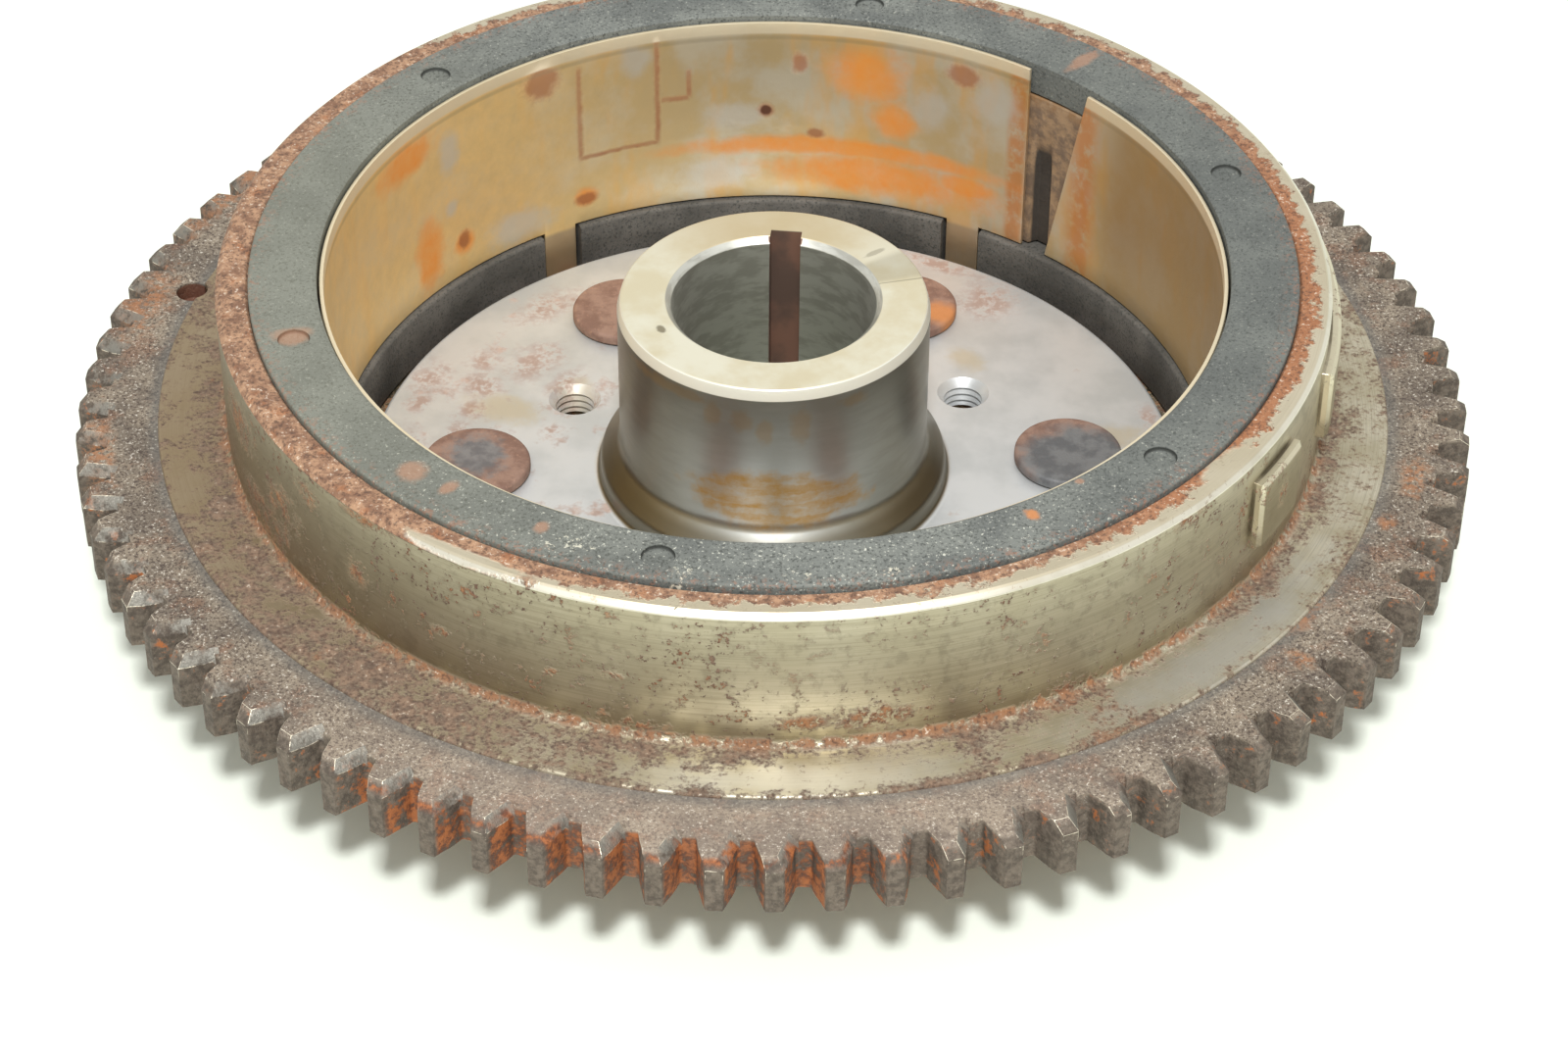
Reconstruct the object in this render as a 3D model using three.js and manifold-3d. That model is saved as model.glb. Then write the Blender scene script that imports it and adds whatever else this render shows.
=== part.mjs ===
// A magneto rotor (flywheel) with a starter ring gear, open side up.
// Millimetres, +Z up.  The origin is on the axis, on the plane that the rotor stands on.
import * as THREE from "three";
import { mergeVertices } from "three/addons/utils/BufferGeometryUtils.js";
import Module from "manifold-3d";

const wasm = await Module();
wasm.setup();

// ---------------------------------------------------------------- driving dimensions
const CLEARANCE = 0.3; // gap between pieces that touch

// Starter ring gear, 12/14 DP stub teeth
const GEAR_MODULE = 25.4 / 12;
const GEAR_ADDENDUM = 25.4 / 14;
const GEAR_DEDENDUM = 1.25 * GEAR_ADDENDUM;
const GEAR_TEETH = 82;
const GEAR_PITCH_RADIUS = (GEAR_MODULE * GEAR_TEETH) / 2;
const GEAR_TIP_RADIUS = GEAR_PITCH_RADIUS + GEAR_ADDENDUM;
const GEAR_ROOT_RADIUS = GEAR_PITCH_RADIUS - GEAR_DEDENDUM;
const GEAR_BORE_RADIUS = 78.3;
const GEAR_BOTTOM = 14.5;
const GEAR_THICKNESS = 7.4;
const GEAR_TOP = GEAR_BOTTOM + GEAR_THICKNESS;
const GEAR_CHAMFER = 1.4; // 45 degrees, on the upper outer edge
const TOOTH_PHASE = THREE.MathUtils.degToRad(-89.5); // a tooth stands here
const PRESSURE_ANGLE = THREE.MathUtils.degToRad(20);
const LEAD_IN_WIDTH = 1.1; // the bevel on one flank of each tooth
const LEAD_IN_HEIGHT = 1.3;
// A blind hole drilled from above into the joint between the flange and the gear
const JOINT_HOLE = { radius: 2.1, depth: 2.6, circle: 79.2, angle: 166 };

// Steel drum: floor, wall and the flange that carries the gear
const DRUM_FLOOR_TOP = 4.3;
const DRUM_OUTER_RADIUS = 69.45;
const DRUM_INNER_RADIUS = 65.4;
const DRUM_RIM = 41.5;
const DRUM_RIM_CHAMFER = 0.9;
const DRUM_FLOOR_HOLE_RADIUS = 24.5;
const DRUM_CORNER_RADIUS = 3.0; // where the floor turns up into the wall
const FLANGE_TOP = 22.3;
const FLANGE_BOTTOM = 14.2;
const FLANGE_RADIUS = GEAR_BORE_RADIUS - CLEARANCE;
const FLANGE_EDGE_ROUND = 0.6;
const WALL_FILLET = 1.0;

// The two raised pads that trigger the ignition sensor
const PAD_PROUD = 1.5;
const PAD_BOTTOM = 28.1;
const PAD_TOP = 37.8;
const PAD_BEVEL = 0.5;
const PADS = [
  { from: -35.3, to: -26.8 },
  { from: -15.5, to: 13.0 },
];

// Riveted hub with a tapered bore
const HUB_FLANGE_RADIUS = 52.8;
const HUB_FLANGE_TOP = 8.6;
const HUB_FLANGE_UNDER = DRUM_FLOOR_TOP + CLEARANCE;
const HUB_TOP = 35.3;
const HUB_RADIUS = 19.8;
const HUB_EDGE = { width: 0.4, height: 1.5 }; // the steep bevel round the hub's nose
const HUB_COLLAR_RADIUS = 22.4;
const HUB_COLLAR_HEIGHT = 4.0;
const HUB_FILLET = 0.8;
const HUB_FLANGE_EDGE = 0.4;
const HUB_BOTTOM = 0.3;
const HUB_SPIGOT_RADIUS = DRUM_FLOOR_HOLE_RADIUS - CLEARANCE; // sits in the drum's floor
const BORE_TOP_RADIUS = 13.0;
const BORE_TAPER = 1 / 10; // on the diameter, narrowing downward
const BORE_CHAMFER = 0.8;
const KEYWAY_WIDTH = 4.0;
const KEYWAY_FLOOR_RADIUS = 14.9; // from the axis
const KEYWAY_ANGLE = 84;
const NUT_SEAT_RADIUS = 16.5; // a counterbore in the underside, round the bore
const NUT_SEAT_HEIGHT = 2.5;

// Rivets through the hub's flange and the drum's floor
const RIVET_COUNT = 6;
const RIVET_CIRCLE_RADIUS = 38.5;
const RIVET_PHASE = 2.3;
const RIVET_HEAD_RADIUS = 7.0;
const RIVET_HEAD_HEIGHT = 1.7;
const RIVET_HEAD_EDGE = 0.3;
const RIVET_SHANK_RADIUS = 4.0;
const RIVET_TAIL_RADIUS = 5.2; // flush, in a countersink in the drum's floor
const RIVET_TAIL_HEIGHT = 1.6;
const RIVET_BOTTOM = 0.2;

// Tapped holes that a puller screws into
const PULLER_COUNT = 3;
const PULLER_CIRCLE_RADIUS = 29.9;
const PULLER_PHASE = 32.3;
const PULLER_HOLE_RADIUS = 2.55;
const PULLER_MOUTH_RADIUS = 3.3;
const PULLER_CLEARANCE_RADIUS = 3.3; // through the drum's floor

// Magnets, the thin steel cover over them and the moulded rings that hold them
const COVER_OUTER_RADIUS = 56.6;
const COVER_THICKNESS = 0.5;
const COVER_BOTTOM = 12.9;
const COVER_TOP = 41.2;
const COVER_TAB_WIDTH = 5; // degrees; tabs that reach down between the spacers
const COVER_TAB_BOTTOM = 4.9;
const SEAM_MIDDLE = 48; // degrees; the cover's seam, a wedge that narrows downward
const SEAM_LEFT = 52.7;
const SEAM_RIGHT_TOP = 42.6;
const SEAM_RIGHT_BOTTOM = 48.6;
const MAGNET_COUNT = 6;
const MAGNET_INNER_RADIUS = COVER_OUTER_RADIUS + CLEARANCE;
const MAGNET_OUTER_RADIUS = DRUM_INNER_RADIUS - CLEARANCE;
const MAGNET_BOTTOM = 12.9;
const MAGNET_TOP = 36.9;
const MAGNET_PHASE = 18;
const MAGNET_SPAN = 49; // degrees
const FILLER_SPAN = 60 - MAGNET_SPAN - 0.6; // degrees; the resin bar between two magnets
const TOP_RING_BOTTOM = MAGNET_TOP + CLEARANCE;
const TOP_RING_TOP = 42.1;
const DIMPLE_COUNT = 6;
const DIMPLE_PHASE = 18;
const DIMPLE_CIRCLE_RADIUS = 61.0;
const DIMPLE_RADIUS = 2.0;
const DIMPLE_DEPTH = 0.6;
const SPACER_COUNT = 6;
const SPACER_PHASE = 2.3;
const SPACER_GAP = 6.0; // degrees between neighbouring spacers
const SPACER_INNER_RADIUS = 55.4;
const SPACER_BOTTOM = DRUM_FLOOR_TOP + CLEARANCE;
const SPACER_TOP = MAGNET_BOTTOM - CLEARANCE;

const TOP_RING_EDGE = 0.3;

const OVERRUN = 1; // how far a cutter runs past what it cuts
const MERGE_DISTANCE = 1e-4;
const WALL_SEGMENTS = 60;
const ARC_SEGMENTS = 8; // on a sixth of a ring
const HUB_SEGMENTS = 40;
const SMALL_SEGMENTS = 14;

// ---------------------------------------------------------------- helpers
const degrees = THREE.MathUtils.degToRad;

/** A closed geometry as a manifold-3d solid. */
function solid(geometry) {
  const plain = geometry.index ? geometry.toNonIndexed() : geometry.clone();
  plain.deleteAttribute("normal");
  plain.deleteAttribute("uv");
  const merged = mergeVertices(plain, MERGE_DISTANCE);
  return new wasm.Manifold(
    new wasm.Mesh({
      numProp: 3,
      vertProperties: merged.attributes.position.array,
      triVerts: new Uint32Array(merged.index.array),
    }),
  );
}

/** A manifold-3d solid as a geometry. */
function geometryOf(made) {
  const mesh = made.getMesh();
  const geometry = new THREE.BufferGeometry();
  geometry.setAttribute("position", new THREE.BufferAttribute(mesh.vertProperties, 3));
  geometry.setIndex(new THREE.BufferAttribute(mesh.triVerts, 1));
  geometry.computeVertexNormals();
  return geometry;
}

/** A solid of revolution about Z from [radius, height] points that go anticlockwise. */
function turned(profile, segments = WALL_SEGMENTS) {
  const points = profile.map(([radius, height]) => new THREE.Vector2(radius, height));
  const closed = points[0].x > 0 || points.at(-1).x > 0;
  if (closed) points.push(points[0].clone());
  return new THREE.LatheGeometry(points, segments).rotateX(Math.PI / 2);
}

/** A point on a circle about Z, its angle in degrees. */
function onCircle(radius, angle) {
  return [radius * Math.cos(degrees(angle)), radius * Math.sin(degrees(angle))];
}

/** Part of a ring between two radii, two angles in degrees and two heights. */
function ringSector(inner, outer, from, to, bottom, top, segments) {
  const shape = new THREE.Shape();
  shape.absarc(0, 0, outer, degrees(from), degrees(to), false);
  shape.absarc(0, 0, inner, degrees(to), degrees(from), true);
  shape.closePath();
  return new THREE.ExtrudeGeometry(shape, {
    depth: top - bottom,
    bevelEnabled: false,
    curveSegments: segments,
  }).translate(0, 0, bottom);
}

/** A straight round bar that stands on a place in the plane. */
function bar(radius, bottom, top, [x, y], segments = SMALL_SEGMENTS) {
  return new THREE.CylinderGeometry(radius, radius, top - bottom, segments)
    .rotateX(Math.PI / 2)
    .translate(x, y, (bottom + top) / 2);
}

/** The angles of `count` places round a circle, in degrees. */
function spaced(count, phase) {
  return Array.from({ length: count }, (_, i) => phase + (i * 360) / count);
}

// ---------------------------------------------------------------- pieces
/** Half of a tooth's angle at a radius, for an involute flank. */
function toothHalfAngle(radius) {
  const baseRadius = GEAR_PITCH_RADIUS * Math.cos(PRESSURE_ANGLE);
  const flankAngle = Math.acos(baseRadius / radius);
  const involute = (angle) => Math.tan(angle) - angle;
  return Math.PI / (2 * GEAR_TEETH) + involute(PRESSURE_ANGLE) - involute(flankAngle);
}

/** The cutter for the hole in the joint between the flange and the gear. */
function jointHole() {
  const place = onCircle(JOINT_HOLE.circle, JOINT_HOLE.angle);
  const bottom = GEAR_TOP - JOINT_HOLE.depth;
  return solid(bar(JOINT_HOLE.radius, bottom, FLANGE_TOP + OVERRUN, place, HUB_SEGMENTS / 2));
}

/** The outline of the toothed ring, with its bore. */
function gearOutline() {
  const outline = new THREE.Shape();
  const radii = [GEAR_ROOT_RADIUS, GEAR_PITCH_RADIUS, GEAR_TIP_RADIUS];
  for (let tooth = 0; tooth < GEAR_TEETH; tooth++) {
    const middle = TOOTH_PHASE + (tooth * 2 * Math.PI) / GEAR_TEETH;
    const rising = radii.map((radius) => [radius, middle - toothHalfAngle(radius)]);
    const falling = radii.map((radius) => [radius, middle + toothHalfAngle(radius)]).reverse();
    for (const [radius, angle] of [...rising, ...falling]) {
      const x = radius * Math.cos(angle);
      const y = radius * Math.sin(angle);
      if (outline.curves.length === 0 && tooth === 0 && radius === radii[0] && angle < middle)
        outline.moveTo(x, y);
      else outline.lineTo(x, y);
    }
  }
  outline.closePath();
  const bore = new THREE.Path();
  bore.absarc(0, 0, GEAR_BORE_RADIUS, 0, 2 * Math.PI, true);
  outline.holes.push(bore);
  return outline;
}

/** The cutter that bevels the upper edge of one tooth's anticlockwise flank. */
function leadInCutter(middle) {
  const at = (radius) => {
    const angle = middle + toothHalfAngle(radius);
    return new THREE.Vector3(radius * Math.cos(angle), radius * Math.sin(angle), GEAR_TOP);
  };
  const root = at(GEAR_ROOT_RADIUS);
  const tip = at(GEAR_TIP_RADIUS);
  const along = tip.clone().sub(root).normalize();
  const up = new THREE.Vector3(0, 0, 1);
  const outward = up.clone().cross(along);
  const overrun = 0.25;
  const wedge = new THREE.Shape([
    new THREE.Vector2(-LEAD_IN_WIDTH * (1 + overrun), LEAD_IN_HEIGHT * overrun),
    new THREE.Vector2(LEAD_IN_WIDTH * overrun, -LEAD_IN_HEIGHT * (1 + overrun)),
    new THREE.Vector2(LEAD_IN_WIDTH * overrun, LEAD_IN_HEIGHT * overrun),
  ]);
  const length = root.distanceTo(tip) + 2 * overrun;
  const prism = new THREE.ExtrudeGeometry(wedge, { depth: length, bevelEnabled: false });
  const place = new THREE.Matrix4().makeBasis(outward, up, outward.clone().cross(up));
  place.setPosition(root.clone().addScaledVector(along, -overrun));
  return prism.applyMatrix4(place);
}

function ringGear() {
  const plate = new THREE.ExtrudeGeometry(gearOutline(), {
    depth: GEAR_THICKNESS,
    bevelEnabled: false,
    curveSegments: WALL_SEGMENTS,
  }).translate(0, 0, GEAR_BOTTOM);
  const blank = turned([
    [GEAR_BORE_RADIUS - OVERRUN, GEAR_BOTTOM - OVERRUN],
    [GEAR_TIP_RADIUS + OVERRUN, GEAR_BOTTOM - OVERRUN],
    [GEAR_TIP_RADIUS + OVERRUN, GEAR_TOP - GEAR_CHAMFER - OVERRUN],
    [GEAR_TIP_RADIUS - GEAR_CHAMFER - OVERRUN, GEAR_TOP + OVERRUN],
    [GEAR_BORE_RADIUS - OVERRUN, GEAR_TOP + OVERRUN],
  ], GEAR_TEETH);
  let gear = solid(plate).intersect(solid(blank));
  for (let tooth = 0; tooth < GEAR_TEETH; tooth++) {
    const middle = TOOTH_PHASE + (tooth * 2 * Math.PI) / GEAR_TEETH;
    gear = gear.subtract(solid(leadInCutter(middle)));
  }
  return geometryOf(gear.subtract(jointHole()));
}

/** A raised pad on the drum's wall, bevelled towards its outer face. */
function triggerPad({ from, to }) {
  const degreesPerFacet = 3;
  const bevelAngle = THREE.MathUtils.radToDeg(PAD_BEVEL / DRUM_OUTER_RADIUS);
  const inner = DRUM_OUTER_RADIUS - OVERRUN;
  const outer = DRUM_OUTER_RADIUS + PAD_PROUD;
  const segments = Math.ceil((to - from) / degreesPerFacet);
  const foot = ringSector(inner, outer - PAD_BEVEL, from, to, PAD_BOTTOM, PAD_TOP, segments);
  const face = ringSector(
    inner,
    outer,
    from + bevelAngle,
    to - bevelAngle,
    PAD_BOTTOM + PAD_BEVEL,
    PAD_TOP - PAD_BEVEL,
    segments,
  );
  return solid(foot).add(solid(face));
}

/** A round cutter about an upright axis at a place in the plane. */
function roundCutter(profile, [x, y]) {
  return solid(turned(profile, SMALL_SEGMENTS).translate(x, y, 0));
}

const rivetPlaces = spaced(RIVET_COUNT, RIVET_PHASE).map((angle) =>
  onCircle(RIVET_CIRCLE_RADIUS, angle),
);
const pullerPlaces = spaced(PULLER_COUNT, PULLER_PHASE).map((angle) =>
  onCircle(PULLER_CIRCLE_RADIUS, angle),
);

function rotorDrum() {
  const cornerPoints = 3;
  const corner = Array.from({ length: cornerPoints + 1 }, (_, i) => {
    const angle = -Math.PI / 2 + (i / cornerPoints) * (Math.PI / 2);
    return [
      DRUM_OUTER_RADIUS - DRUM_CORNER_RADIUS + DRUM_CORNER_RADIUS * Math.cos(angle),
      DRUM_CORNER_RADIUS + DRUM_CORNER_RADIUS * Math.sin(angle),
    ];
  });
  const wall = turned([
    [DRUM_FLOOR_HOLE_RADIUS, 0],
    ...corner,
    [DRUM_OUTER_RADIUS, FLANGE_BOTTOM],
    [FLANGE_RADIUS, FLANGE_BOTTOM],
    [FLANGE_RADIUS, FLANGE_TOP - FLANGE_EDGE_ROUND],
    [FLANGE_RADIUS - FLANGE_EDGE_ROUND, FLANGE_TOP],
    [DRUM_OUTER_RADIUS + WALL_FILLET, FLANGE_TOP],
    [DRUM_OUTER_RADIUS, FLANGE_TOP + WALL_FILLET],
    [DRUM_OUTER_RADIUS, DRUM_RIM - DRUM_RIM_CHAMFER],
    [DRUM_OUTER_RADIUS - DRUM_RIM_CHAMFER, DRUM_RIM],
    [DRUM_INNER_RADIUS, DRUM_RIM],
    [DRUM_INNER_RADIUS, DRUM_FLOOR_TOP],
    [DRUM_FLOOR_HOLE_RADIUS, DRUM_FLOOR_TOP],
  ]);
  let drum = solid(wall);
  for (const pad of PADS) drum = drum.add(triggerPad(pad));
  const countersunk = [
    [0, -OVERRUN],
    [RIVET_TAIL_RADIUS + CLEARANCE, -OVERRUN],
    [RIVET_TAIL_RADIUS + CLEARANCE, 0],
    [RIVET_SHANK_RADIUS + CLEARANCE, RIVET_TAIL_HEIGHT + CLEARANCE],
    [RIVET_SHANK_RADIUS + CLEARANCE, DRUM_FLOOR_TOP + OVERRUN],
    [0, DRUM_FLOOR_TOP + OVERRUN],
  ];
  const through = [
    [0, -OVERRUN],
    [PULLER_CLEARANCE_RADIUS, -OVERRUN],
    [PULLER_CLEARANCE_RADIUS, DRUM_FLOOR_TOP + OVERRUN],
    [0, DRUM_FLOOR_TOP + OVERRUN],
  ];
  for (const place of rivetPlaces) drum = drum.subtract(roundCutter(countersunk, place));
  for (const place of pullerPlaces) drum = drum.subtract(roundCutter(through, place));
  return geometryOf(drum.subtract(jointHole()));
}

function hub() {
  const boreRadius = (z) => BORE_TOP_RADIUS - ((HUB_TOP - z) * BORE_TAPER) / 2;
  const boreTop = HUB_TOP - BORE_CHAMFER;
  const body = turned([
    [boreRadius(NUT_SEAT_HEIGHT), NUT_SEAT_HEIGHT],
    [NUT_SEAT_RADIUS, NUT_SEAT_HEIGHT],
    [NUT_SEAT_RADIUS, HUB_BOTTOM],
    [HUB_SPIGOT_RADIUS, HUB_BOTTOM],
    [HUB_SPIGOT_RADIUS, HUB_FLANGE_UNDER],
    [HUB_FLANGE_RADIUS, HUB_FLANGE_UNDER],
    [HUB_FLANGE_RADIUS, HUB_FLANGE_TOP - HUB_FLANGE_EDGE],
    [HUB_FLANGE_RADIUS - HUB_FLANGE_EDGE, HUB_FLANGE_TOP],
    [HUB_COLLAR_RADIUS + HUB_FILLET, HUB_FLANGE_TOP],
    [HUB_COLLAR_RADIUS, HUB_FLANGE_TOP + HUB_FILLET],
    [HUB_COLLAR_RADIUS, HUB_FLANGE_TOP + HUB_COLLAR_HEIGHT - HUB_FILLET],
    [HUB_RADIUS, HUB_FLANGE_TOP + HUB_COLLAR_HEIGHT + HUB_FILLET],
    [HUB_RADIUS, HUB_TOP - HUB_EDGE.height],
    [HUB_RADIUS - HUB_EDGE.width, HUB_TOP],
    [boreRadius(boreTop) + BORE_CHAMFER, HUB_TOP],
    [boreRadius(boreTop), boreTop],
  ], HUB_SEGMENTS);
  const keyway = new THREE.BoxGeometry(KEYWAY_FLOOR_RADIUS, KEYWAY_WIDTH, 4 * HUB_TOP)
    .translate(KEYWAY_FLOOR_RADIUS / 2, 0, 0);
  let made = solid(body);
  made = made.subtract(solid(keyway.rotateZ(degrees(KEYWAY_ANGLE))));
  const mouthDepth = PULLER_MOUTH_RADIUS - PULLER_HOLE_RADIUS;
  const rivetHole = [
    [0, 0],
    [RIVET_SHANK_RADIUS + CLEARANCE, 0],
    [RIVET_SHANK_RADIUS + CLEARANCE, HUB_FLANGE_TOP + OVERRUN],
    [0, HUB_FLANGE_TOP + OVERRUN],
  ];
  const tappedHole = [
    [0, 0],
    [PULLER_HOLE_RADIUS, 0],
    [PULLER_HOLE_RADIUS, HUB_FLANGE_TOP - mouthDepth],
    [PULLER_MOUTH_RADIUS + OVERRUN, HUB_FLANGE_TOP + OVERRUN],
    [0, HUB_FLANGE_TOP + OVERRUN],
  ];
  for (const place of rivetPlaces) made = made.subtract(roundCutter(rivetHole, place));
  for (const place of pullerPlaces) made = made.subtract(roundCutter(tappedHole, place));
  return geometryOf(made);
}

/** One rivet: a low flat head on the hub's flange, a shank and a flush countersunk tail. */
function rivet() {
  const headBottom = HUB_FLANGE_TOP + CLEARANCE;
  const headTop = HUB_FLANGE_TOP + RIVET_HEAD_HEIGHT;
  return turned([
    [0, RIVET_BOTTOM],
    [RIVET_TAIL_RADIUS, RIVET_BOTTOM],
    [RIVET_SHANK_RADIUS, RIVET_TAIL_HEIGHT],
    [RIVET_SHANK_RADIUS, headBottom],
    [RIVET_HEAD_RADIUS, headBottom],
    [RIVET_HEAD_RADIUS, headTop - RIVET_HEAD_EDGE],
    [RIVET_HEAD_RADIUS - RIVET_HEAD_EDGE, headTop],
    [0, headTop],
  ], HUB_SEGMENTS / 2);
}

function magnetCover() {
  const inner = COVER_OUTER_RADIUS - COVER_THICKNESS;
  const sheet = turned([
    [inner, COVER_TAB_BOTTOM],
    [COVER_OUTER_RADIUS, COVER_TAB_BOTTOM],
    [COVER_OUTER_RADIUS, COVER_TOP - COVER_THICKNESS / 3],
    [COVER_OUTER_RADIUS - COVER_THICKNESS / 3, COVER_TOP],
    [inner + COVER_THICKNESS / 3, COVER_TOP],
    [inner, COVER_TOP - COVER_THICKNESS / 3],
  ]);
  let made = solid(sheet);
  const within = inner - OVERRUN;
  const beyond = COVER_OUTER_RADIUS + OVERRUN;
  for (const tab of spaced(SPACER_COUNT, SPACER_PHASE)) {
    const from = tab + COVER_TAB_WIDTH / 2;
    const to = tab + 360 / SPACER_COUNT - COVER_TAB_WIDTH / 2;
    const window = ringSector(within, beyond, from, to, 0, COVER_BOTTOM, ARC_SEGMENTS);
    made = made.subtract(solid(window));
  }
  const across = (angle) => COVER_OUTER_RADIUS * Math.sin(degrees(angle - SEAM_MIDDLE));
  const seam = new THREE.Shape([
    new THREE.Vector2(across(SEAM_LEFT), COVER_TOP + OVERRUN),
    new THREE.Vector2(across(SEAM_LEFT), COVER_BOTTOM - OVERRUN),
    new THREE.Vector2(across(SEAM_RIGHT_BOTTOM), COVER_BOTTOM - OVERRUN),
    new THREE.Vector2(across(SEAM_RIGHT_TOP), COVER_TOP + OVERRUN),
  ]);
  const outward = new THREE.Vector3(...onCircle(1, SEAM_MIDDLE), 0);
  const up = new THREE.Vector3(0, 0, 1);
  const depth = 10; // from well inside the curved sheet to well outside it
  const wedge = new THREE.ExtrudeGeometry(seam, { depth, bevelEnabled: false });
  const place = new THREE.Matrix4().makeBasis(up.clone().cross(outward), up, outward);
  place.setPosition(outward.clone().multiplyScalar(inner - depth / 2));
  return geometryOf(made.subtract(solid(wedge.applyMatrix4(place))));
}

function topRing() {
  const outer = DRUM_INNER_RADIUS - CLEARANCE;
  const inner = COVER_OUTER_RADIUS + CLEARANCE;
  const ring = turned([
    [inner, TOP_RING_BOTTOM],
    [outer, TOP_RING_BOTTOM],
    [outer, TOP_RING_TOP - TOP_RING_EDGE],
    [outer - TOP_RING_EDGE, TOP_RING_TOP],
    [inner + TOP_RING_EDGE, TOP_RING_TOP - TOP_RING_EDGE],
    [inner, TOP_RING_TOP - 2 * TOP_RING_EDGE],
  ]);
  let made = solid(ring);
  for (const angle of spaced(DIMPLE_COUNT, DIMPLE_PHASE)) {
    const place = onCircle(DIMPLE_CIRCLE_RADIUS, angle);
    const dimple = bar(DIMPLE_RADIUS, TOP_RING_TOP - DIMPLE_DEPTH, TOP_RING_TOP + OVERRUN, place);
    made = made.subtract(solid(dimple));
  }
  return geometryOf(made);
}

/** A moulded arc of the lower spacer ring, between two tabs of the magnet cover. */
function spacer(tab) {
  return ringSector(
    SPACER_INNER_RADIUS,
    DRUM_INNER_RADIUS - CLEARANCE,
    tab + SPACER_GAP / 2,
    tab + 360 / SPACER_COUNT - SPACER_GAP / 2,
    SPACER_BOTTOM,
    SPACER_TOP,
    ARC_SEGMENTS,
  );
}

/** An arc of the ring of magnets, or of the resin between them. */
function magnetRingArc(middle, span, segments) {
  return ringSector(
    MAGNET_INNER_RADIUS,
    MAGNET_OUTER_RADIUS,
    middle - span / 2,
    middle + span / 2,
    MAGNET_BOTTOM,
    MAGNET_TOP,
    segments,
  );
}

// ---------------------------------------------------------------- the object
const STEELS = {
  drum: { color: 0x8f8a78, roughness: 0.45, metalness: 0.9 },
  rustyGear: { color: 0x5a4a3e, roughness: 0.8, metalness: 0.6 },
  hub: { color: 0xa09c92, roughness: 0.35, metalness: 0.95 },
  rivet: { color: 0x6b4f45, roughness: 0.75, metalness: 0.6 },
  cover: { color: 0xa8966a, roughness: 0.4, metalness: 0.9 },
};
const MAGNET = { color: 0x3a3a3c, roughness: 0.7, metalness: 0.3 };
const MOULDING = { color: 0x4a4c4a, roughness: 0.8, metalness: 0 };
const RESIN = { color: 0x4c4236, roughness: 0.7, metalness: 0 };

const rotor = new THREE.Group();

function addPiece(name, geometry, finish) {
  const mesh = new THREE.Mesh(geometry, new THREE.MeshStandardMaterial(finish));
  mesh.name = name;
  rotor.add(mesh);
  return mesh;
}

addPiece("rotor_drum", rotorDrum(), STEELS.drum);
addPiece("ring_gear", ringGear(), STEELS.rustyGear);
addPiece("hub", hub(), STEELS.hub);
rivetPlaces.forEach(([x, y], i) => {
  addPiece(`rivet_${i + 1}`, rivet(), STEELS.rivet).position.set(x, y, 0);
});
addPiece("magnet_cover", magnetCover(), STEELS.cover);
addPiece("top_retaining_ring", topRing(), MOULDING);
spaced(SPACER_COUNT, SPACER_PHASE).forEach((tab, i) => {
  addPiece(`lower_spacer_${i + 1}`, spacer(tab), MOULDING);
});
spaced(MAGNET_COUNT, MAGNET_PHASE).forEach((middle, i) => {
  addPiece(`magnet_${i + 1}`, magnetRingArc(middle, MAGNET_SPAN, ARC_SEGMENTS), MAGNET);
});
spaced(MAGNET_COUNT, MAGNET_PHASE + 180 / MAGNET_COUNT).forEach((middle, i) => {
  addPiece(`magnet_gap_filler_${i + 1}`, magnetRingArc(middle, FILLER_SPAN, ARC_SEGMENTS / 4), RESIN);
});

export default rotor;
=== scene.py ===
# %% [markdown]
# # A magneto rotor with a starter ring gear
#
# This notebook dresses a finished CAD model of a small engine's rotor. The CAD says how large every piece is
# and where it sits. Here each visible piece is made again with the fine edges, bevels and surface that a
# worn steel part has, in metres, in the same frame, with +Z up and the rotor's axis on Z.

# %% Load the frame
import math

import bpy
import bmesh
import numpy as np
from mathutils import Matrix, Vector, noise


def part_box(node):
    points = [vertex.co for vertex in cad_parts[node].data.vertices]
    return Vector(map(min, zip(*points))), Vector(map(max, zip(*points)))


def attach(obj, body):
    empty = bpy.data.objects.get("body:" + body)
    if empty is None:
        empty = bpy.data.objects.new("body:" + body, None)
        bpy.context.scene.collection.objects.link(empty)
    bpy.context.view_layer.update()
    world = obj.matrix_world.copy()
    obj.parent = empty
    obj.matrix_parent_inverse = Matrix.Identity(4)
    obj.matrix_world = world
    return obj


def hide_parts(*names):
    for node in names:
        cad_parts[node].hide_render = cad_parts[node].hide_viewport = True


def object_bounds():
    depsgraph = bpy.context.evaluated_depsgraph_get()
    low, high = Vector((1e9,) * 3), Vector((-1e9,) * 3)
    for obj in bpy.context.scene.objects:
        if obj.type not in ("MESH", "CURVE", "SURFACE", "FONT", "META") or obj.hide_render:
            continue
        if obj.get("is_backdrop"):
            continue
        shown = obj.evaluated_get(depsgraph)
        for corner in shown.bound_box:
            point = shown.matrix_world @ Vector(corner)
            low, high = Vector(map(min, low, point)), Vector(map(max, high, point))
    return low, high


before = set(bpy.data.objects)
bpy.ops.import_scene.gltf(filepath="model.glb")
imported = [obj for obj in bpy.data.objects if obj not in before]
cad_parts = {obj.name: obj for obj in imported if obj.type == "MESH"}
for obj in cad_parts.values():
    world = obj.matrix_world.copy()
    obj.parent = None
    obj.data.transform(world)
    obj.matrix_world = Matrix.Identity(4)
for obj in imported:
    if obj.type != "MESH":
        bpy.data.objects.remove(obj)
cad_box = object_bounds()
print("CAD nodes:", len(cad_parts))

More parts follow.
